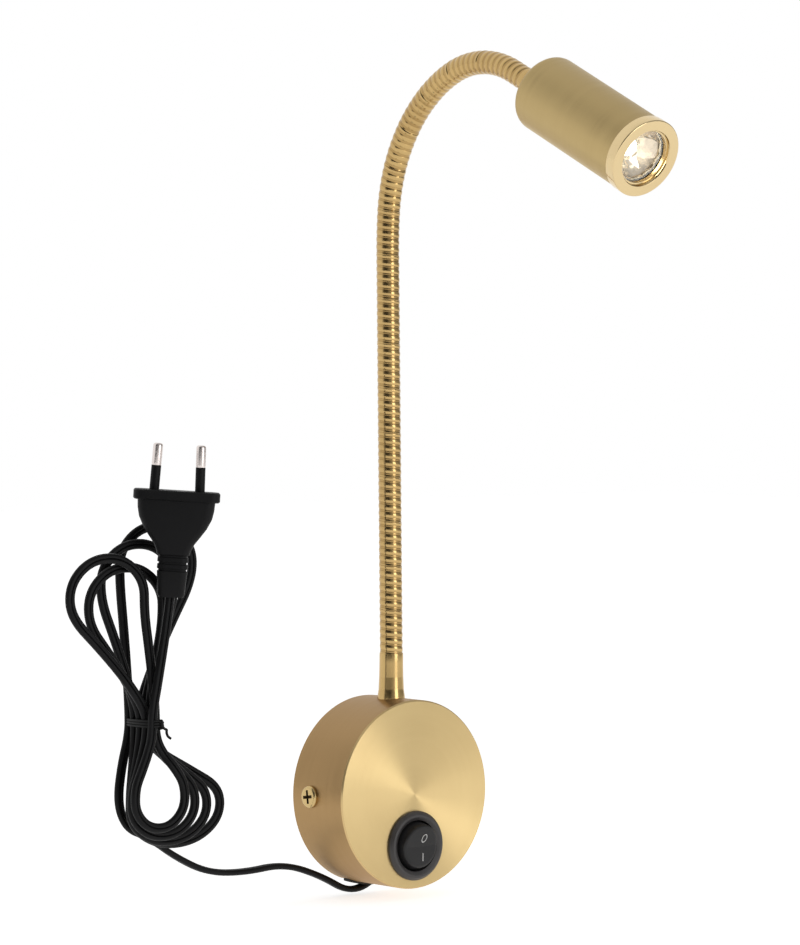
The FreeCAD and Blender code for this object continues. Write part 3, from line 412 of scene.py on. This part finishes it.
def hose(name, first, last, skin):
    """The ribbed hose from one rib to another. Its ribs climb as a helix, as wound strip does."""
    rows = range(round(first * len(RIB)), round(last * len(RIB)))
    verts, depth, index = [], [], {}
    for i in rows:
        radius = RIB[i % len(RIB)]
        for j in range(HOSE_SIDES + 1):
            if j == HOSE_SIDES and i + len(RIB) in rows:
                continue
            turn = j / HOSE_SIDES
            place = neck.frame((i / len(RIB) + turn) * PITCH)
            a = -2 * math.pi * turn
            index[i, j] = len(verts)
            verts.append(place @ (Vector((radius * math.cos(a), radius * math.sin(a), 0)) * MM))
            # painted shade: how deep each point lies in a groove, which the material paints darker
            depth.append(min(1.0, max(0.0, (GROOVE_START - radius) / GROOVE_DEPTH)))
    for i in rows:
        if (i, HOSE_SIDES) not in index:
            index[i, HOSE_SIDES] = index[i + len(RIB), 0]
    faces = [[index[i, j], index[i, j + 1], index[i + 1, j + 1], index[i + 1, j]]
             for i in list(rows)[:-1] for j in range(HOSE_SIDES)]
    for end in (rows[0], rows[-1]):
        rim = [index[end, j] for j in range(HOSE_SIDES + 1)]
        middle = len(verts)
        verts.append(sum((verts[v] for v in rim), Vector()) / len(rim))
        # painted shade: the middles of the end caps are painted fully dark
        depth.append(1.0)
        faces += [[rim[j], rim[j + 1], middle] for j in range(HOSE_SIDES)]
    mesh = bpy.data.meshes.new(name)
    mesh.from_pydata(verts, [], faces)
    mesh.attributes.new("depth", "FLOAT", "POINT").data.foreach_set("value", depth)
    mesh.polygons.foreach_set("use_smooth", [True] * len(mesh.polygons))
    mesh.materials.append(skin)
    mesh.validate()
    thing = bpy.data.objects.new(name, mesh)
    bpy.context.scene.collection.objects.link(thing)
    return thing


def link_body(k):
    """The body that carries link k."""
    if k == 1:
        return "base"
    return "head" if k == LINKS else "neck_%02d" % k


def bendable_neck(skin):
    """A ribbed length on each body of the neck, and a ball at each joint that fills the seam between
    two lengths however the joint turns. The seams climb half a rib to each side of the joint."""
    curve = [(0, 4.6), (2.3, 3.98), (3.98, 2.3), (4.6, 0), (3.98, -2.3), (2.3, -3.98), (0, -4.6)]
    for k in range(1, LINKS + 1):
        first = -1 if k == 1 else (k - 1) * RIBS_PER_LINK - 0.5
        last = LINKS * RIBS_PER_LINK + EXTRA_RIBS if k == LINKS else k * RIBS_PER_LINK - 0.5
        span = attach(hose("hose_%02d" % k, first, last, skin), link_body(k))
        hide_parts("neck_link_%02d" % k)
        if k < LINKS:
            joint = neck.frame(k * RIBS_PER_LINK * PITCH)
            ball = lathe("hose_ball_%02d" % k, curve, joint, skin, 32)
            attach(ball, link_body(k))


END = neck.frame(neck.length)


def ferrule(name, length, place, skin):
    """A flared ferrule with an open mouth for the hose."""
    flare = [(4.95, length), (5.1, length), (5.1, length - 4), (5.2, 0.47 * length),
             (5.45, 3.5), (5.9, 0.4), (5.9, -1.0), (2.7, -1.0), (2.7, length - 6), (4.95, length - 6)]
    return lathe(name, eased(flare, {1: 0.12, 3: 12.0, 4: 12.0}), place, skin, 64)


def ferrules(skin):
    """The ferrule on the base and the shorter one behind the head, which the hose runs up to."""
    foot = ferrule("neck_ferrule", COLLAR_LENGTH, at(0, -NECK_OUT, BASE_RADIUS), skin)
    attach(foot, "base")
    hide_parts("neck_collar")
    flip = END @ Matrix.Translation(Z * STUB_END * MM) @ Matrix.Rotation(math.pi, 4, "X")
    back = ferrule("head_ferrule", STUB_LENGTH, flip, skin)
    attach(back, "head")
    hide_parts("head_collar")


# ---------------------------------------------------------------- head
HOUSING_START = 19.7
HOUSING_LENGTH = 63.0
TUBE_RADIUS, RING_RADIUS = 16.1, 16.5
RING_START = HOUSING_START + HOUSING_LENGTH


def along_head(distance):
    """A placement on the head's axis, at a distance from the neck's end."""
    return END @ Matrix.Translation(Z * distance * MM)


def head(satin, ring_skin, bowl_painted_glow, lens_skin, glow_skin):
    """The head's tube, its front ring, the faceted reflector bowl with its painted glow, the light and the
    clear front.
    """
    shell = eased([(5.1, 0), (TUBE_RADIUS, 0), (TUBE_RADIUS, HOUSING_LENGTH),
                   (14.5, HOUSING_LENGTH), (14.5, 1.6), (5.1, 1.6)], {1: 4.0, 2: 0.15}, 8)
    tube = lathe("head_tube", shell, along_head(HOUSING_START), satin, 128)
    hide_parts("head_housing")
    rim = eased([(14.3, -4), (14.4, 0), (RING_RADIUS, 0), (RING_RADIUS, 5.0), (12.1, 5.0),
                 (11.8, 4.4), (11.8, 3.5), (11.2, 3.4), (11.1, 2.0), (12.9, 1.9), (12.9, -4)],
                {2: 0.2, 3: 0.5, 4: 0.15})
    ring = lathe("head_ring", rim, along_head(RING_START), ring_skin, 128, 25)
    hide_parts("front_ring")
    clear_front = [(0, 1.9), (4.6, 1.75), (9.2, 1.3), (11.2, 1.2), (11.2, 0.4), (0, 0.2)]
    glass = lathe("lens_front", clear_front, along_head(RING_START), lens_skin, 96)
    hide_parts("collimator_lens")
    bowl = facets("reflector_bowl", bowl_painted_glow)
    chip = lathe("led_dome", eased([(0, 2.2), (2.4, 1.8), (3.4, 0.4), (3.4, 0.0), (0, 0.0)], {1: 1.5}),
                 along_head(RING_START - 6.0), glow_skin, 48)
    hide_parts("led_chip")
    for thing, slot in ((tube, "satin_brass"), (ring, "polished_brass"), (glass, "clear_lens"),
                        (bowl, "clear_lens"), (chip, "light_source")):
        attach(thing, "head")


def facets(name, skin):
    """The bowl of flat facets that is seen through the clear front."""
    sides, rings = 20, [(11.3, 0.1), (10.3, -1.4), (8.8, -2.9), (6.9, -4.3), (4.9, -5.5), (4.4, -6.0)]
    verts, faces = [], []
    for r, (radius, height) in enumerate(rings):
        for j in range(sides):
            a = 2 * math.pi * (j + 0.5 * (r % 2)) / sides
            spot = Vector((radius * math.cos(a), radius * math.sin(a), height)) * MM
            verts.append(along_head(RING_START) @ spot)
    for r in range(len(rings) - 1):
        for j in range(sides):
            k = (j + 1) % sides
            a, b = r * sides + j, r * sides + k
            c, d = (r + 1) * sides + k, (r + 1) * sides + j
            faces += [[a, b, d], [b, c, d]] if r % 2 == 0 else [[a, b, c], [a, c, d]]
    return piece(name, verts, faces, skin, 1.0)


# ---------------------------------------------------------------- switch and screws
SWITCH = at(0, -BASE_DEPTH, -SWITCH_DROP, about("X", 90))


def switch(skin, rocker_skin, mark_skin):
    """The bezel with its well, the two-facet rocker, and the marks O and I."""
    outline = eased([(0, -17), (13.0, -17), (13.0, 0), (14.75, 0), (14.75, 1.0), (13.4, 2.4),
                     (12.4, 2.4), (10.9, 1.5), (11.3, -2), (11.3, -9.5), (0, -9.5)],
                    {4: 0.6, 5: 0.9, 6: 0.9})
    bezel = lathe("switch_bezel", outline, SWITCH, skin, 96)
    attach(bezel, "base")
    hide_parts("switch_body")
    rocker = rocker_mesh(rocker_skin)
    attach(rocker, "rocker")
    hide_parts("switch_rocker")
    for thing in marks(mark_skin):
        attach(thing, "rocker")


ROCKER_FACE, ROCKER_TILT = 4.0, 15.0
OFF_MARK, ON_MARK = (1.2, 3.6, 0), (1.2, -4.6)      # places on the two halves of its face


def rocker_height(y):
    """Height of the rocker's face above the switch's seat: level below, leaning out above."""
    return ROCKER_FACE + max(0.0, y) * math.tan(math.radians(ROCKER_TILT))


def rocker_mesh(skin):
    """The round rocker: side wall with draft, and a rounded edge round its folded face."""
    sides, base = 96, -4.5
    rings = [(10.4, None, base), (10.8, None, -1.5), (9.35, 1.4, 0), (9.1, 0.6, 0), (8.6, 0.15, 0),
             (8.0, 0.0, 0)]
    verts = []
    for radius, under, height in rings:
        for j in range(sides):
            a = 2 * math.pi * j / sides
            x, y = radius * math.cos(a), radius * math.sin(a)
            z = height if under is None else rocker_height(y) - under
            verts.append(SWITCH @ (Vector((x, y, z)) * MM))
    faces = bands(len(rings), sides)
    top = (len(rings) - 1) * sides
    half = sides // 2
    faces.append([top + j for j in range(half + 1)])
    faces.append([top + half + j for j in range(half)] + [top])
    faces.append(list(range(sides)))
    return piece("rocker", verts, faces, skin, 12.0)


def marks(skin):
    """A ring for off on the upper half and a bar for on below, printed on the rocker."""
    lift = 0.04
    tilt = SWITCH @ at(0, 0, ROCKER_FACE) @ about("X", ROCKER_TILT).to_4x4()
    ring, sides, slant = [], 40, Matrix.Rotation(math.radians(-24), 3, "Z")
    for wide, high in ((1.35, 1.95), (1.0, 1.55)):
        for j in range(sides):
            a = 2 * math.pi * j / sides
            spot = Vector(OFF_MARK) + slant @ Vector((wide * math.cos(a), high * math.sin(a), lift))
            ring.append(tilt @ (spot * MM))
    faces = [[j, (j + 1) % sides, sides + (j + 1) % sides, sides + j] for j in range(sides)]
    off = piece("mark_off", ring, faces, skin)
    x, y = ON_MARK
    bar = [SWITCH @ (Vector((x + dx, y + dy, ROCKER_FACE + lift)) * MM)
           for dx, dy in ((-0.2, -1.7), (0.2, -1.7), (0.2, 1.7), (-0.2, 1.7))]
    return [off, piece("mark_on", bar, [[0, 1, 2, 3]], skin)]


IN_MM = Matrix.Scale(1000, 4)         # builds a mesh a thousand times as large, where cuts are exact
TO_METRES = Matrix.Scale(0.001, 4)


def side_screws(skin, dark):
    """Pan-head screws with a cross recess, one at each side of the base."""
    outline = eased([(0, 1.9), (4.75, 1.9), (4.75, 0), (2.4, 0), (2.4, -9), (0, -9)], {1: 1.2}, 8)
    for side, name in ((-1, "left"), (1, "right")):
        screw = lathe("screw_" + name, outline, IN_MM, skin, 64)
        cross_recess(screw, dark)
        place = at(side * BASE_RADIUS, -SCREW_OUT, 0, about("Y", side * 90) @ about("Z", 8))
        screw.data.transform(place @ TO_METRES)
        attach(screw, "base")
    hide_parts("side_screws")


def cross_recess(screw, dark):
    """Cuts two crossed tapered slots into the screw's head, with painted shade on the recess's walls."""
    verts, faces = [], []
    for long_from_x in (1, 0):
        first = len(verts)
        for z, long, wide in ((0.2, 1.6, 0.4), (2.3, 3.2, 0.72)):
            corners = ((-long, -wide), (long, -wide), (long, wide), (-long, wide))
            verts += [(x, y, z) if long_from_x else (-y, x, z) for x, y in corners]
        faces += [[first + v for v in face] for face in (
            (0, 3, 2, 1), (4, 5, 6, 7), (0, 1, 5, 4), (1, 2, 6, 5), (2, 3, 7, 6), (3, 0, 4, 7))]
    for part in (faces[:6], faces[6:]):
        used = sorted({v for face in part for v in face})
        tool = piece("cross", [verts[v] for v in used], [[used.index(v) for v in f] for f in part],
                     screw.data.materials[0])
        cut = screw.modifiers.new("cross", "BOOLEAN")
        cut.object, cut.operation, cut.solver = tool, "DIFFERENCE", "EXACT"
        shape = bpy.context.evaluated_depsgraph_get()
        finished = bpy.data.meshes.new_from_object(screw.evaluated_get(shape))
        screw.modifiers.clear()
        screw.data = finished
        bpy.data.objects.remove(tool)
    screw.data.set_sharp_from_angle(angle=math.radians(35))
    # painted shade: faces inside the recess take this dark second material
    screw.data.materials.append(dark)
    for face in screw.data.polygons:
        if face.center.xy.length < 3.4 and 0.1 < face.center.z < 1.85:
            face.material_index = 1


# ---------------------------------------------------------------- plug
PIN_LENGTH, PIN_SPACING, PIN_TIP_SPACING = 19.0, 18.6, 17.5
PLUG = at(-116.4, -19.6, 131.0, about("Z", -36) @ about("Y", 3.4))


def plug(skin, metal):
    """The flat plug: a flange, a waisted grip with a ribbed sleeve, two pins with black roots."""
    sections = [(0.0, 17.1, 6.3, 3.6), (-0.5, 17.65, 6.85, 4.0), (-3.6, 17.65, 6.85, 4.0),
                (-4.1, 17.1, 6.4, 3.8), (-4.2, 15.8, 6.1, 3.6), (-7.5, 15.6, 6.05, 3.6),
                (-11.0, 14.9, 5.95, 3.5), (-15.0, 13.0, 5.8, 3.4), (-18.5, 10.6, 5.6, 3.3),
                (-21.5, 8.4, 5.4, 3.2), (-24.5, 7.0, 5.2, 3.1), (-26.0, 6.7, 5.0, 3.0)]
    for groove in (-26.2, -29.0, -31.8):
        sections += [(groove, 6.3, 4.7, 2.9), (groove - 0.2, 5.7, 4.2, 2.7),
                     (groove - 0.9, 5.7, 4.2, 2.7), (groove - 1.1, 6.2, 4.6, 2.9)]
    sections += [(-42.5, 5.6, 4.1, 2.8), (-43.5, 5.0, 3.6, 2.6)]
    corner_steps, verts = 6, []
    for z, wide, thick, corner in sections:
        for x_side, y_side, start in ((1, 1, 0), (-1, 1, 90), (-1, -1, 180), (1, -1, 270)):
            for j in range(corner_steps + 1):
                a = math.radians(start + 90 * j / corner_steps)
                spot = Vector((x_side * (wide - corner) + corner * math.cos(a),
                               y_side * (thick - corner) + corner * math.sin(a), z))
                verts.append(PLUG @ (spot * MM))
    around = 4 * (corner_steps + 1)
    faces = bands(len(sections), around)
    faces += [list(range(around)), [(len(sections) - 1) * around + j for j in range(around)]]
    body = piece("plug_shell", verts, faces, skin, 30)
    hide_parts("plug_body")
    pieces = [(body, "plug_plastic")]
    lean = math.degrees(math.atan((PIN_SPACING - PIN_TIP_SPACING) / 2 / PIN_LENGTH))
    for side, name in ((-1, "left"), (1, "right")):
        place = PLUG @ at(side * PIN_SPACING / 2, 0, 0, about("Y", -side * lean))
        sleeve = eased([(0, -1), (2.0, -1), (2.0, 10.0), (0, 10.0)], {2: 0.2})
        root = lathe("pin_root_" + name, sleeve, place, skin, 40)
        bare = eased([(0, 9.6), (1.85, 9.6), (1.95, 10.2), (2.0, 11.0), (2.0, PIN_LENGTH),
                      (0, PIN_LENGTH)], {4: 1.1}, 8)
        pin = lathe("pin_" + name, bare, place, metal, 40)
        pieces += [(root, "plug_plastic"), (pin, "nickel_pins")]
        if side < 0:
            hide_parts("pin_sleeves")
            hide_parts("plug_pins")
    for thing, slot in pieces:
        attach(thing, "base")
    return [thing for thing, slot in pieces]


# ---------------------------------------------------------------- cord
CORD_WIDE, CORD_THICK = 4.2, 2.7
LEAD_ROUTE = [(17, -3.4, -27), (4, -3.4, -38), (-11, -3.4, -44.2), (-28, -3.4, -35),
              (-48, -3.4, -28.5), (-69, -3.4, -30.5), (-88, -3.4, -29), (-104, -2.9, -21.5)]
TURNS, LAYER_STEP, STRAND_STEP = 4, 4.0, 4.4
HANK_X, HANK_Z, WAIST_HALF = -125.6, 36.0, 5.0
LOBE_ANGLES = [-112.5 + 45 * j for j in range(6)]
LEG_STEPS = 3
HANK_ENTRY = [(6.5, -47.5), (-3.5, -43.5), (-8.0, -33.0), (-6.0, -18.0)]
HANK_EXIT = [(0.5, 17.0)]


def hank_layer(k):
    """The y of one turn of the hank."""
    return -2.5 - LAYER_STEP * k


def lobe(fan, reach, half_width, half_height):
    """Points of one loop, from its left leg to its right: (x, distance from the waist)."""
    far, lean = reach - half_height, math.radians(fan)
    middle = (far * math.sin(lean), WAIST_HALF + far * math.cos(lean))
    grow = 1 / math.cos(math.radians(22.5))
    end = [(middle[0] + half_width * grow * math.sin(math.radians(a)),
            middle[1] + half_height * grow * math.cos(math.radians(a))) for a in LOBE_ANGLES]

    def leg(side, corner):
        shares = [j / LEG_STEPS for j in range(1, LEG_STEPS)]
        start = side * STRAND_STEP / 2
        return [(start + (corner[0] - start) * share ** 1.2,
                 WAIST_HALF + (corner[1] - WAIST_HALF) * share) for share in shares]

    return leg(-1, end[0]) + end + leg(1, end[-1])[::-1]


def upper_lobe(k):
    """The loop above the waist of one turn."""
    return lobe(11 - 12 * k, 68 + 8 * math.cos(math.pi * k / 2), 18.5, 16)


def lower_lobe(k):
    """The loop below the waist of one turn."""
    return [(x, -z) for x, z in reversed(lobe(31 - 9 * k, 51 - 4.5 * k, 23 - 3.5 * k, 15 - k))]


def hank_points():
    """The hank's route: in at the lower left, up through the waist, then round each turn."""
    left, right = -STRAND_STEP / 2, STRAND_STEP / 2
    route = [(x, hank_layer(0), z) for x, z in HANK_ENTRY]
    for k in range(TURNS + 1):
        layer, after = hank_layer(k), hank_layer(k + 1)
        route += [(left, layer, -WAIST_HALF), (left, layer, WAIST_HALF)]
        if k < TURNS:
            route += [(x, layer, z) for x, z in upper_lobe(k)]
            route += [(right, layer, WAIST_HALF), (right, layer, -WAIST_HALF)]
            legs = lower_lobe(k)
            route += [(x, layer, z) for x, z in legs[:1]] + [(x, after, z) for x, z in legs[1:]]
    route += [(x, hank_layer(TURNS), z) for x, z in HANK_EXIT]
    return [(HANK_X + x, y, HANK_Z + z) for x, y, z in route]


def cord_section(name):
    """Section of the flat two-core cord: two round cores with a shallow groove between them."""
    curve = bpy.data.curves.new(name, "CURVE")
    curve.dimensions = "2D"
    core = CORD_THICK / 2
    offset = CORD_WIDE / 2 - core
    points = []
    for side, start in ((1, -130), (-1, 50)):
        for j in range(9):
            a = math.radians(start + 260 * j / 8)
            points.append((side * offset + core * math.cos(a), core * math.sin(a)))
    spline = curve.splines.new("POLY")
    spline.points.add(len(points) - 1)
    for point, (x, y) in zip(spline.points, points):
        point.co = (x * MM, y * MM, 0, 1)
    spline.use_cyclic_u = True
    shape = bpy.data.objects.new(name, curve)
    bpy.context.scene.collection.objects.link(shape)
    shape.hide_render = True
    return shape


def mains_cord(skin):
    """The whole cord, from inside the base through the hank to the plug."""
    lead_end = [tuple(PLUG @ (Vector((0, 0, z)) * MM) / MM) for z in (-46.0, -35.0)]
    hank = hank_points()
    points = LEAD_ROUTE + hank + lead_end
    stand = Matrix.Rotation(math.radians(-90), 4, "X")      # the curve's own Z is the world's Y
    curve = bpy.data.curves.new("mains_cord", "CURVE")
    curve.dimensions = "3D"
    curve.resolution_u = 8
    curve.twist_mode = "Z_UP"
    spline = curve.splines.new("NURBS")
    spline.points.add(len(points) - 1)
    for i, (point, spot) in enumerate(zip(spline.points, points)):
        point.co = (*(stand.inverted() @ (Vector(spot) * MM)), 1)
        point.tilt = math.radians(90) * max(0.0, 1.0 - max(0, i - len(LEAD_ROUTE) + 1) / 3)
    spline.order_u = 3
    spline.use_endpoint_u = True
    section = cord_section("cord_section")
    curve.bevel_mode = "OBJECT"
    curve.bevel_object = section
    curve.use_fill_caps = True
    curve.materials.append(skin)
    cord = bpy.data.objects.new("mains_cord", curve)
    bpy.context.scene.collection.objects.link(cord)
    cord.matrix_world = stand
    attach(cord, "base")
    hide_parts("power_cord_lead", "cord_hank", "plug_lead")


def tie(skin):
    """The wire tie: a band of three close wraps round the waist with a short twisted tail."""
    front, back = hank_layer(TURNS) - CORD_THICK / 2 - 0.4, hank_layer(0) + CORD_THICK / 2 + 0.4
    wide = STRAND_STEP / 2 + CORD_WIDE / 2 + 0.5
    middle, deep = (front + back) / 2, (back - front) / 2
    curve = bpy.data.curves.new("hank_tie", "CURVE")
    curve.dimensions = "3D"
    curve.resolution_u = 6
    steps, wraps = 12, 3
    spots = []
    for i in range(steps * wraps + 1):
        a = 2 * math.pi * i / steps - math.pi / 2
        x, y = math.cos(a), math.sin(a)
        square = 1 / max(abs(x), abs(y)) ** 0.55
        spots.append((HANK_X + wide * x * square, middle + deep * y * square,
                      HANK_Z - 1.6 + 3.2 * i / (steps * wraps)))
    for j in range(9):
        a = j * 1.5
        spots.append((HANK_X + 0.6 * math.cos(a) + 0.5 * j, front - 0.9 - 0.1 * j,
                      HANK_Z + 1.8 + 0.6 * math.sin(a) - 0.9 * j))
    spline = curve.splines.new("NURBS")
    spline.points.add(len(spots) - 1)
    for point, spot in zip(spline.points, spots):
        point.co = (*(Vector(spot) * MM), 1)
    spline.order_u = 3
    spline.use_endpoint_u = True
    curve.bevel_depth = 0.55 * MM
    curve.use_fill_caps = True
    curve.materials.append(skin)
    band = bpy.data.objects.new("hank_tie", curve)
    bpy.context.scene.collection.objects.link(band)
    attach(band, "base")
    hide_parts("cord_tie")
    return band


# ---------------------------------------------------------------- carried-over nodes
def dress(names, skin):
    """Gives CAD nodes their material."""
    for name in names:
        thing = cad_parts[name]
        thing.data.materials.clear()
        thing.data.materials.append(skin)


# ---------------------------------------------------------------- stage
CAMERA_MM = (-1152.44, -1397.75, 201.44)
CAMERA_AZIMUTH, CAMERA_ELEVATION, CAMERA_ROLL = -39.83, 1.64, 0.2
FOCAL_PX, FRAME_PX = 4233.6, (800, 945)
AXIS_PX = (391.2, 439.42)


def camera():
    """The photograph's view: place, direction, lens and framing."""
    data = bpy.data.cameras.new("camera")
    long_side = max(FRAME_PX)
    data.sensor_width = 36.0
    data.lens = FOCAL_PX * data.sensor_width / long_side
    data.shift_x = (FRAME_PX[0] / 2 - AXIS_PX[0]) / long_side
    data.shift_y = (AXIS_PX[1] - FRAME_PX[1] / 2) / long_side
    data.clip_start, data.clip_end = 0.05, 50
    view = bpy.data.objects.new("camera", data)
    bpy.context.scene.collection.objects.link(view)
    back = outward(CAMERA_AZIMUTH, CAMERA_ELEVATION)
    view.location = Vector(CAMERA_MM) * MM
    view.rotation_mode = "QUATERNION"
    roll = Matrix.Rotation(math.radians(CAMERA_ROLL), 3, back).to_quaternion()
    view.rotation_quaternion = roll @ (-back).to_track_quat("-Z", "Y")
    bpy.context.scene.camera = view


# degrees round the lamp from its front, and the level of the soft light there
SURROUND = [(-180, 0.26), (-134, 0.25), (-98, 0.21), (-76, 0.07), (-48, 0.06), (-26, 0.31),
            (-5, 0.50), (20, 0.53), (48, 0.38), (90, 0.29), (180, 0.26)]
CEILING = 0.46
FLOOR_LIFT = 0.72


def window(azimuth, elevation, distance, size, radiance):
    """The bright window as a rectangular light that faces the middle of the lamp."""
    data = bpy.data.lights.new("window", "AREA")
    data.shape = "RECTANGLE"
    data.size, data.size_y = size
    data.energy = radiance * math.pi * size[0] * size[1]
    lamp = bpy.data.objects.new("window", data)
    bpy.context.scene.collection.objects.link(lamp)
    back = outward(azimuth, elevation)
    lamp.location = Vector((0, -0.05, 0.13)) + back * distance
    lamp.rotation_mode = "QUATERNION"
    lamp.rotation_quaternion = (-back).to_track_quat("-Z", "Y")


def surround(world):
    """A soft room: brighter in front, with a dark stretch at the left and a pale ceiling."""
    direction = node(world, "ShaderNodeTexCoord").outputs["Generated"]
    axes = node(world, "ShaderNodeSeparateXYZ", {0: direction}).outputs
    azimuth = number(world, "ARCTAN2", axes["X"], number(world, "MULTIPLY", axes["Y"], -1.0))
    ramp = node(world, "ShaderNodeValToRGB", {"Fac": spread(world, azimuth, -math.pi, math.pi, 0, 1)})
    ramp.color_ramp.interpolation = "EASE"
    stops = ramp.color_ramp.elements
    while len(stops) < len(SURROUND):
        stops.new(0.5)
    for stop, (degrees, level) in zip(stops, SURROUND):
        stop.position = (degrees + 180) / 360
        stop.color = (level, level, level, 1)
    mix = node(world, "ShaderNodeMix", {"Factor": soft_step(world, axes["Z"], 0.55, 0.95),
                                        6: ramp.outputs["Color"],
                                        7: (CEILING, CEILING, CEILING, 1)}, data_type="RGBA")
    return mix.outputs[2]


def background_rays(made):
    """Two numbers: 1 for rays from the camera, and 1 for rays from camera, metal or glass."""
    path = node(made, "ShaderNodeLightPath").outputs
    seen = path["Is Camera Ray"]
    for kind in ("Is Glossy Ray", "Is Transmission Ray"):
        seen = number(made, "MAXIMUM", seen, path[kind])
    return path["Is Camera Ray"], seen


def shown_by(made, factor, plain, shown, output):
    """Sends out the plain shader where the factor is 0 and the shown one where it is 1."""
    mix = node(made, "ShaderNodeMixShader", {"Fac": factor, 1: plain.outputs[0], 2: shown.outputs[0]})
    link(made, mix.outputs[0], output)


def white_world(world, lit):
    """White to the camera all round, and to metal and glass on the wall's side of the lamp, where
    the background hangs. The room in front of it stays as it is."""
    camera_ray, seen = background_rays(world)
    direction = node(world, "ShaderNodeTexCoord").outputs["Generated"]
    axes = node(world, "ShaderNodeSeparateXYZ", {0: direction}).outputs
    hung = number(world, "MULTIPLY", seen, soft_step(world, axes["Y"], -0.05, 0.30))
    white = node(world, "ShaderNodeBackground", {"Color": (1, 1, 1, 1), "Strength": 1.0})
    shown_by(world, number(world, "MAXIMUM", camera_ray, hung), lit, white,
             world.node_tree.nodes["World Output"].inputs["Surface"])


def white_floor(skin, principled):
    """A floor that camera, metal and glass see lifted to white, with the shadow left in it."""
    lift = node(skin, "ShaderNodeEmission", {"Color": (1, 1, 1, 1), "Strength": FLOOR_LIFT})
    both = node(skin, "ShaderNodeAddShader", {0: principled.outputs[0], 1: lift.outputs[0]})
    shown_by(skin, background_rays(skin)[1], principled, both,
             skin.node_tree.nodes["Material Output"].inputs["Surface"])


def studio():
    """Pale floor in a softly lit room."""
    world = bpy.data.worlds.new("surround")
    bpy.context.scene.world = world
    world.use_nodes = True
    lit = world.node_tree.nodes["Background"]
    link(world, surround(world), lit.inputs["Color"])
    lit.inputs["Strength"].default_value = 1.0
    white_world(world, lit)
    floor_skin = material("floor")
    principled = shader(floor_skin, Base_Color=(0.9, 0.9, 0.89, 1), Roughness=0.8)
    white_floor(floor_skin, principled)
    half, low = 3.0, CAD_BOX[0].z - 0.002
    corners = [(-half, -half, low), (half, -half, low), (half, half, low), (-half, half, low)]
    floor = piece("floor", corners, [[0, 1, 2, 3]], floor_skin)
    window(8, 9, 1.6, (0.75, 0.75), 2.7)
    bpy.context.scene.view_settings.view_transform = "Standard"


# ---------------------------------------------------------------- build
def main():
    camera()
    black = moulded("black_plastic", (0.058, 0.054, 0.054), 0.42, 2600.0, 0.08)
    rocker_black = moulded("rocker_plastic", (0.018, 0.0175, 0.0185), 0.38, 2600.0, 0.05, 0.3)
    jacket = moulded("cord_jacket", (0.004, 0.004, 0.0045), 0.45, 1800.0, 0.05, 0.16)
    plug_skin = moulded("plug_plastic", (0.004, 0.004, 0.0045), 0.5, 2200.0, 0.10, 0.16)
    nickel = plated("nickel", (0.78, 0.71, 0.68), 0.22)
    plugs = plug(plug_skin, nickel)
    band = tie(moulded("tie_plastic", (0.006, 0.006, 0.006), 0.5, 1500.0, 0.1, 0.2))
    mains_cord(jacket)
    # painted shade: the drum's walls are painted much darker than its front
    drum = turned_brass("drum_brass", (0, 1, 0), (0, 0, 0), (0.80, 0.605, 0.295),
                        (0.44, 0.28, 0.125), 0.37)
    axis = END.to_3x3() @ Z
    tube = turned_brass("head_brass", axis, END.translation, (0.50, 0.37, 0.165),
                        (0.52, 0.385, 0.175), 0.34)
    gold = polished_brass("gold", (0.56, 0.385, 0.16), (0.24, 0.13, 0.04), 0.17, 0.01)
    ring = polished_brass("ring_gold", (0.72, 0.56, 0.31), (0.6, 0.42, 0.2), 0.13, 0.0)
    screw = polished_brass("screw_brass", (0.60, 0.44, 0.20), (0.36, 0.25, 0.11), 0.22, 0.02)
    bendable_neck(gold)
    ferrules(gold)
    head(tube, ring, painted_glow_bowl("bowl", (0.66, 0.57, 0.46), (1.0, 0.88, 0.62), END.translation, axis),
         clear("lens_clear", (1, 0.99, 0.97), 0.0), glowing("led_light", (1.0, 0.88, 0.66), 6.0))
    switch(black, rocker_black, moulded("mark_paint", (0.75, 0.75, 0.74), 0.5, 1500.0, 0.02))
    # painted shade for the screws' cross recesses
    side_screws(screw, plated("painted_recess_shade", (0.10, 0.065, 0.03), 0.6))
    steel = plated("zinc_steel", (0.56, 0.56, 0.55), 0.34)
    dress(["base_housing"], drum)
    dress(["wall_plate", "collar_washer", "collar_nut", "head_nut", "clip_screw",
           "switch_terminals"], steel)
    dress(["led_driver", "terminal_block", "lens_holder", "cord_clip", "led_board"],
          moulded("white_plastic", (0.72, 0.72, 0.69), 0.45, 1500.0, 0.05))
    dress(["driver_pad", "cord_bush"], moulded("black_rubber", (0.018, 0.018, 0.018), 0.6, 1200.0, 0.1))
    dress(["supply_wires", "lamp_wires", "head_wires"],
          moulded("wire_red", (0.35, 0.03, 0.02), 0.4, 1500.0, 0.04))
    dress(["heat_sink"], plated("milled_aluminium", (0.75, 0.75, 0.76), 0.3))
    studio()


main()
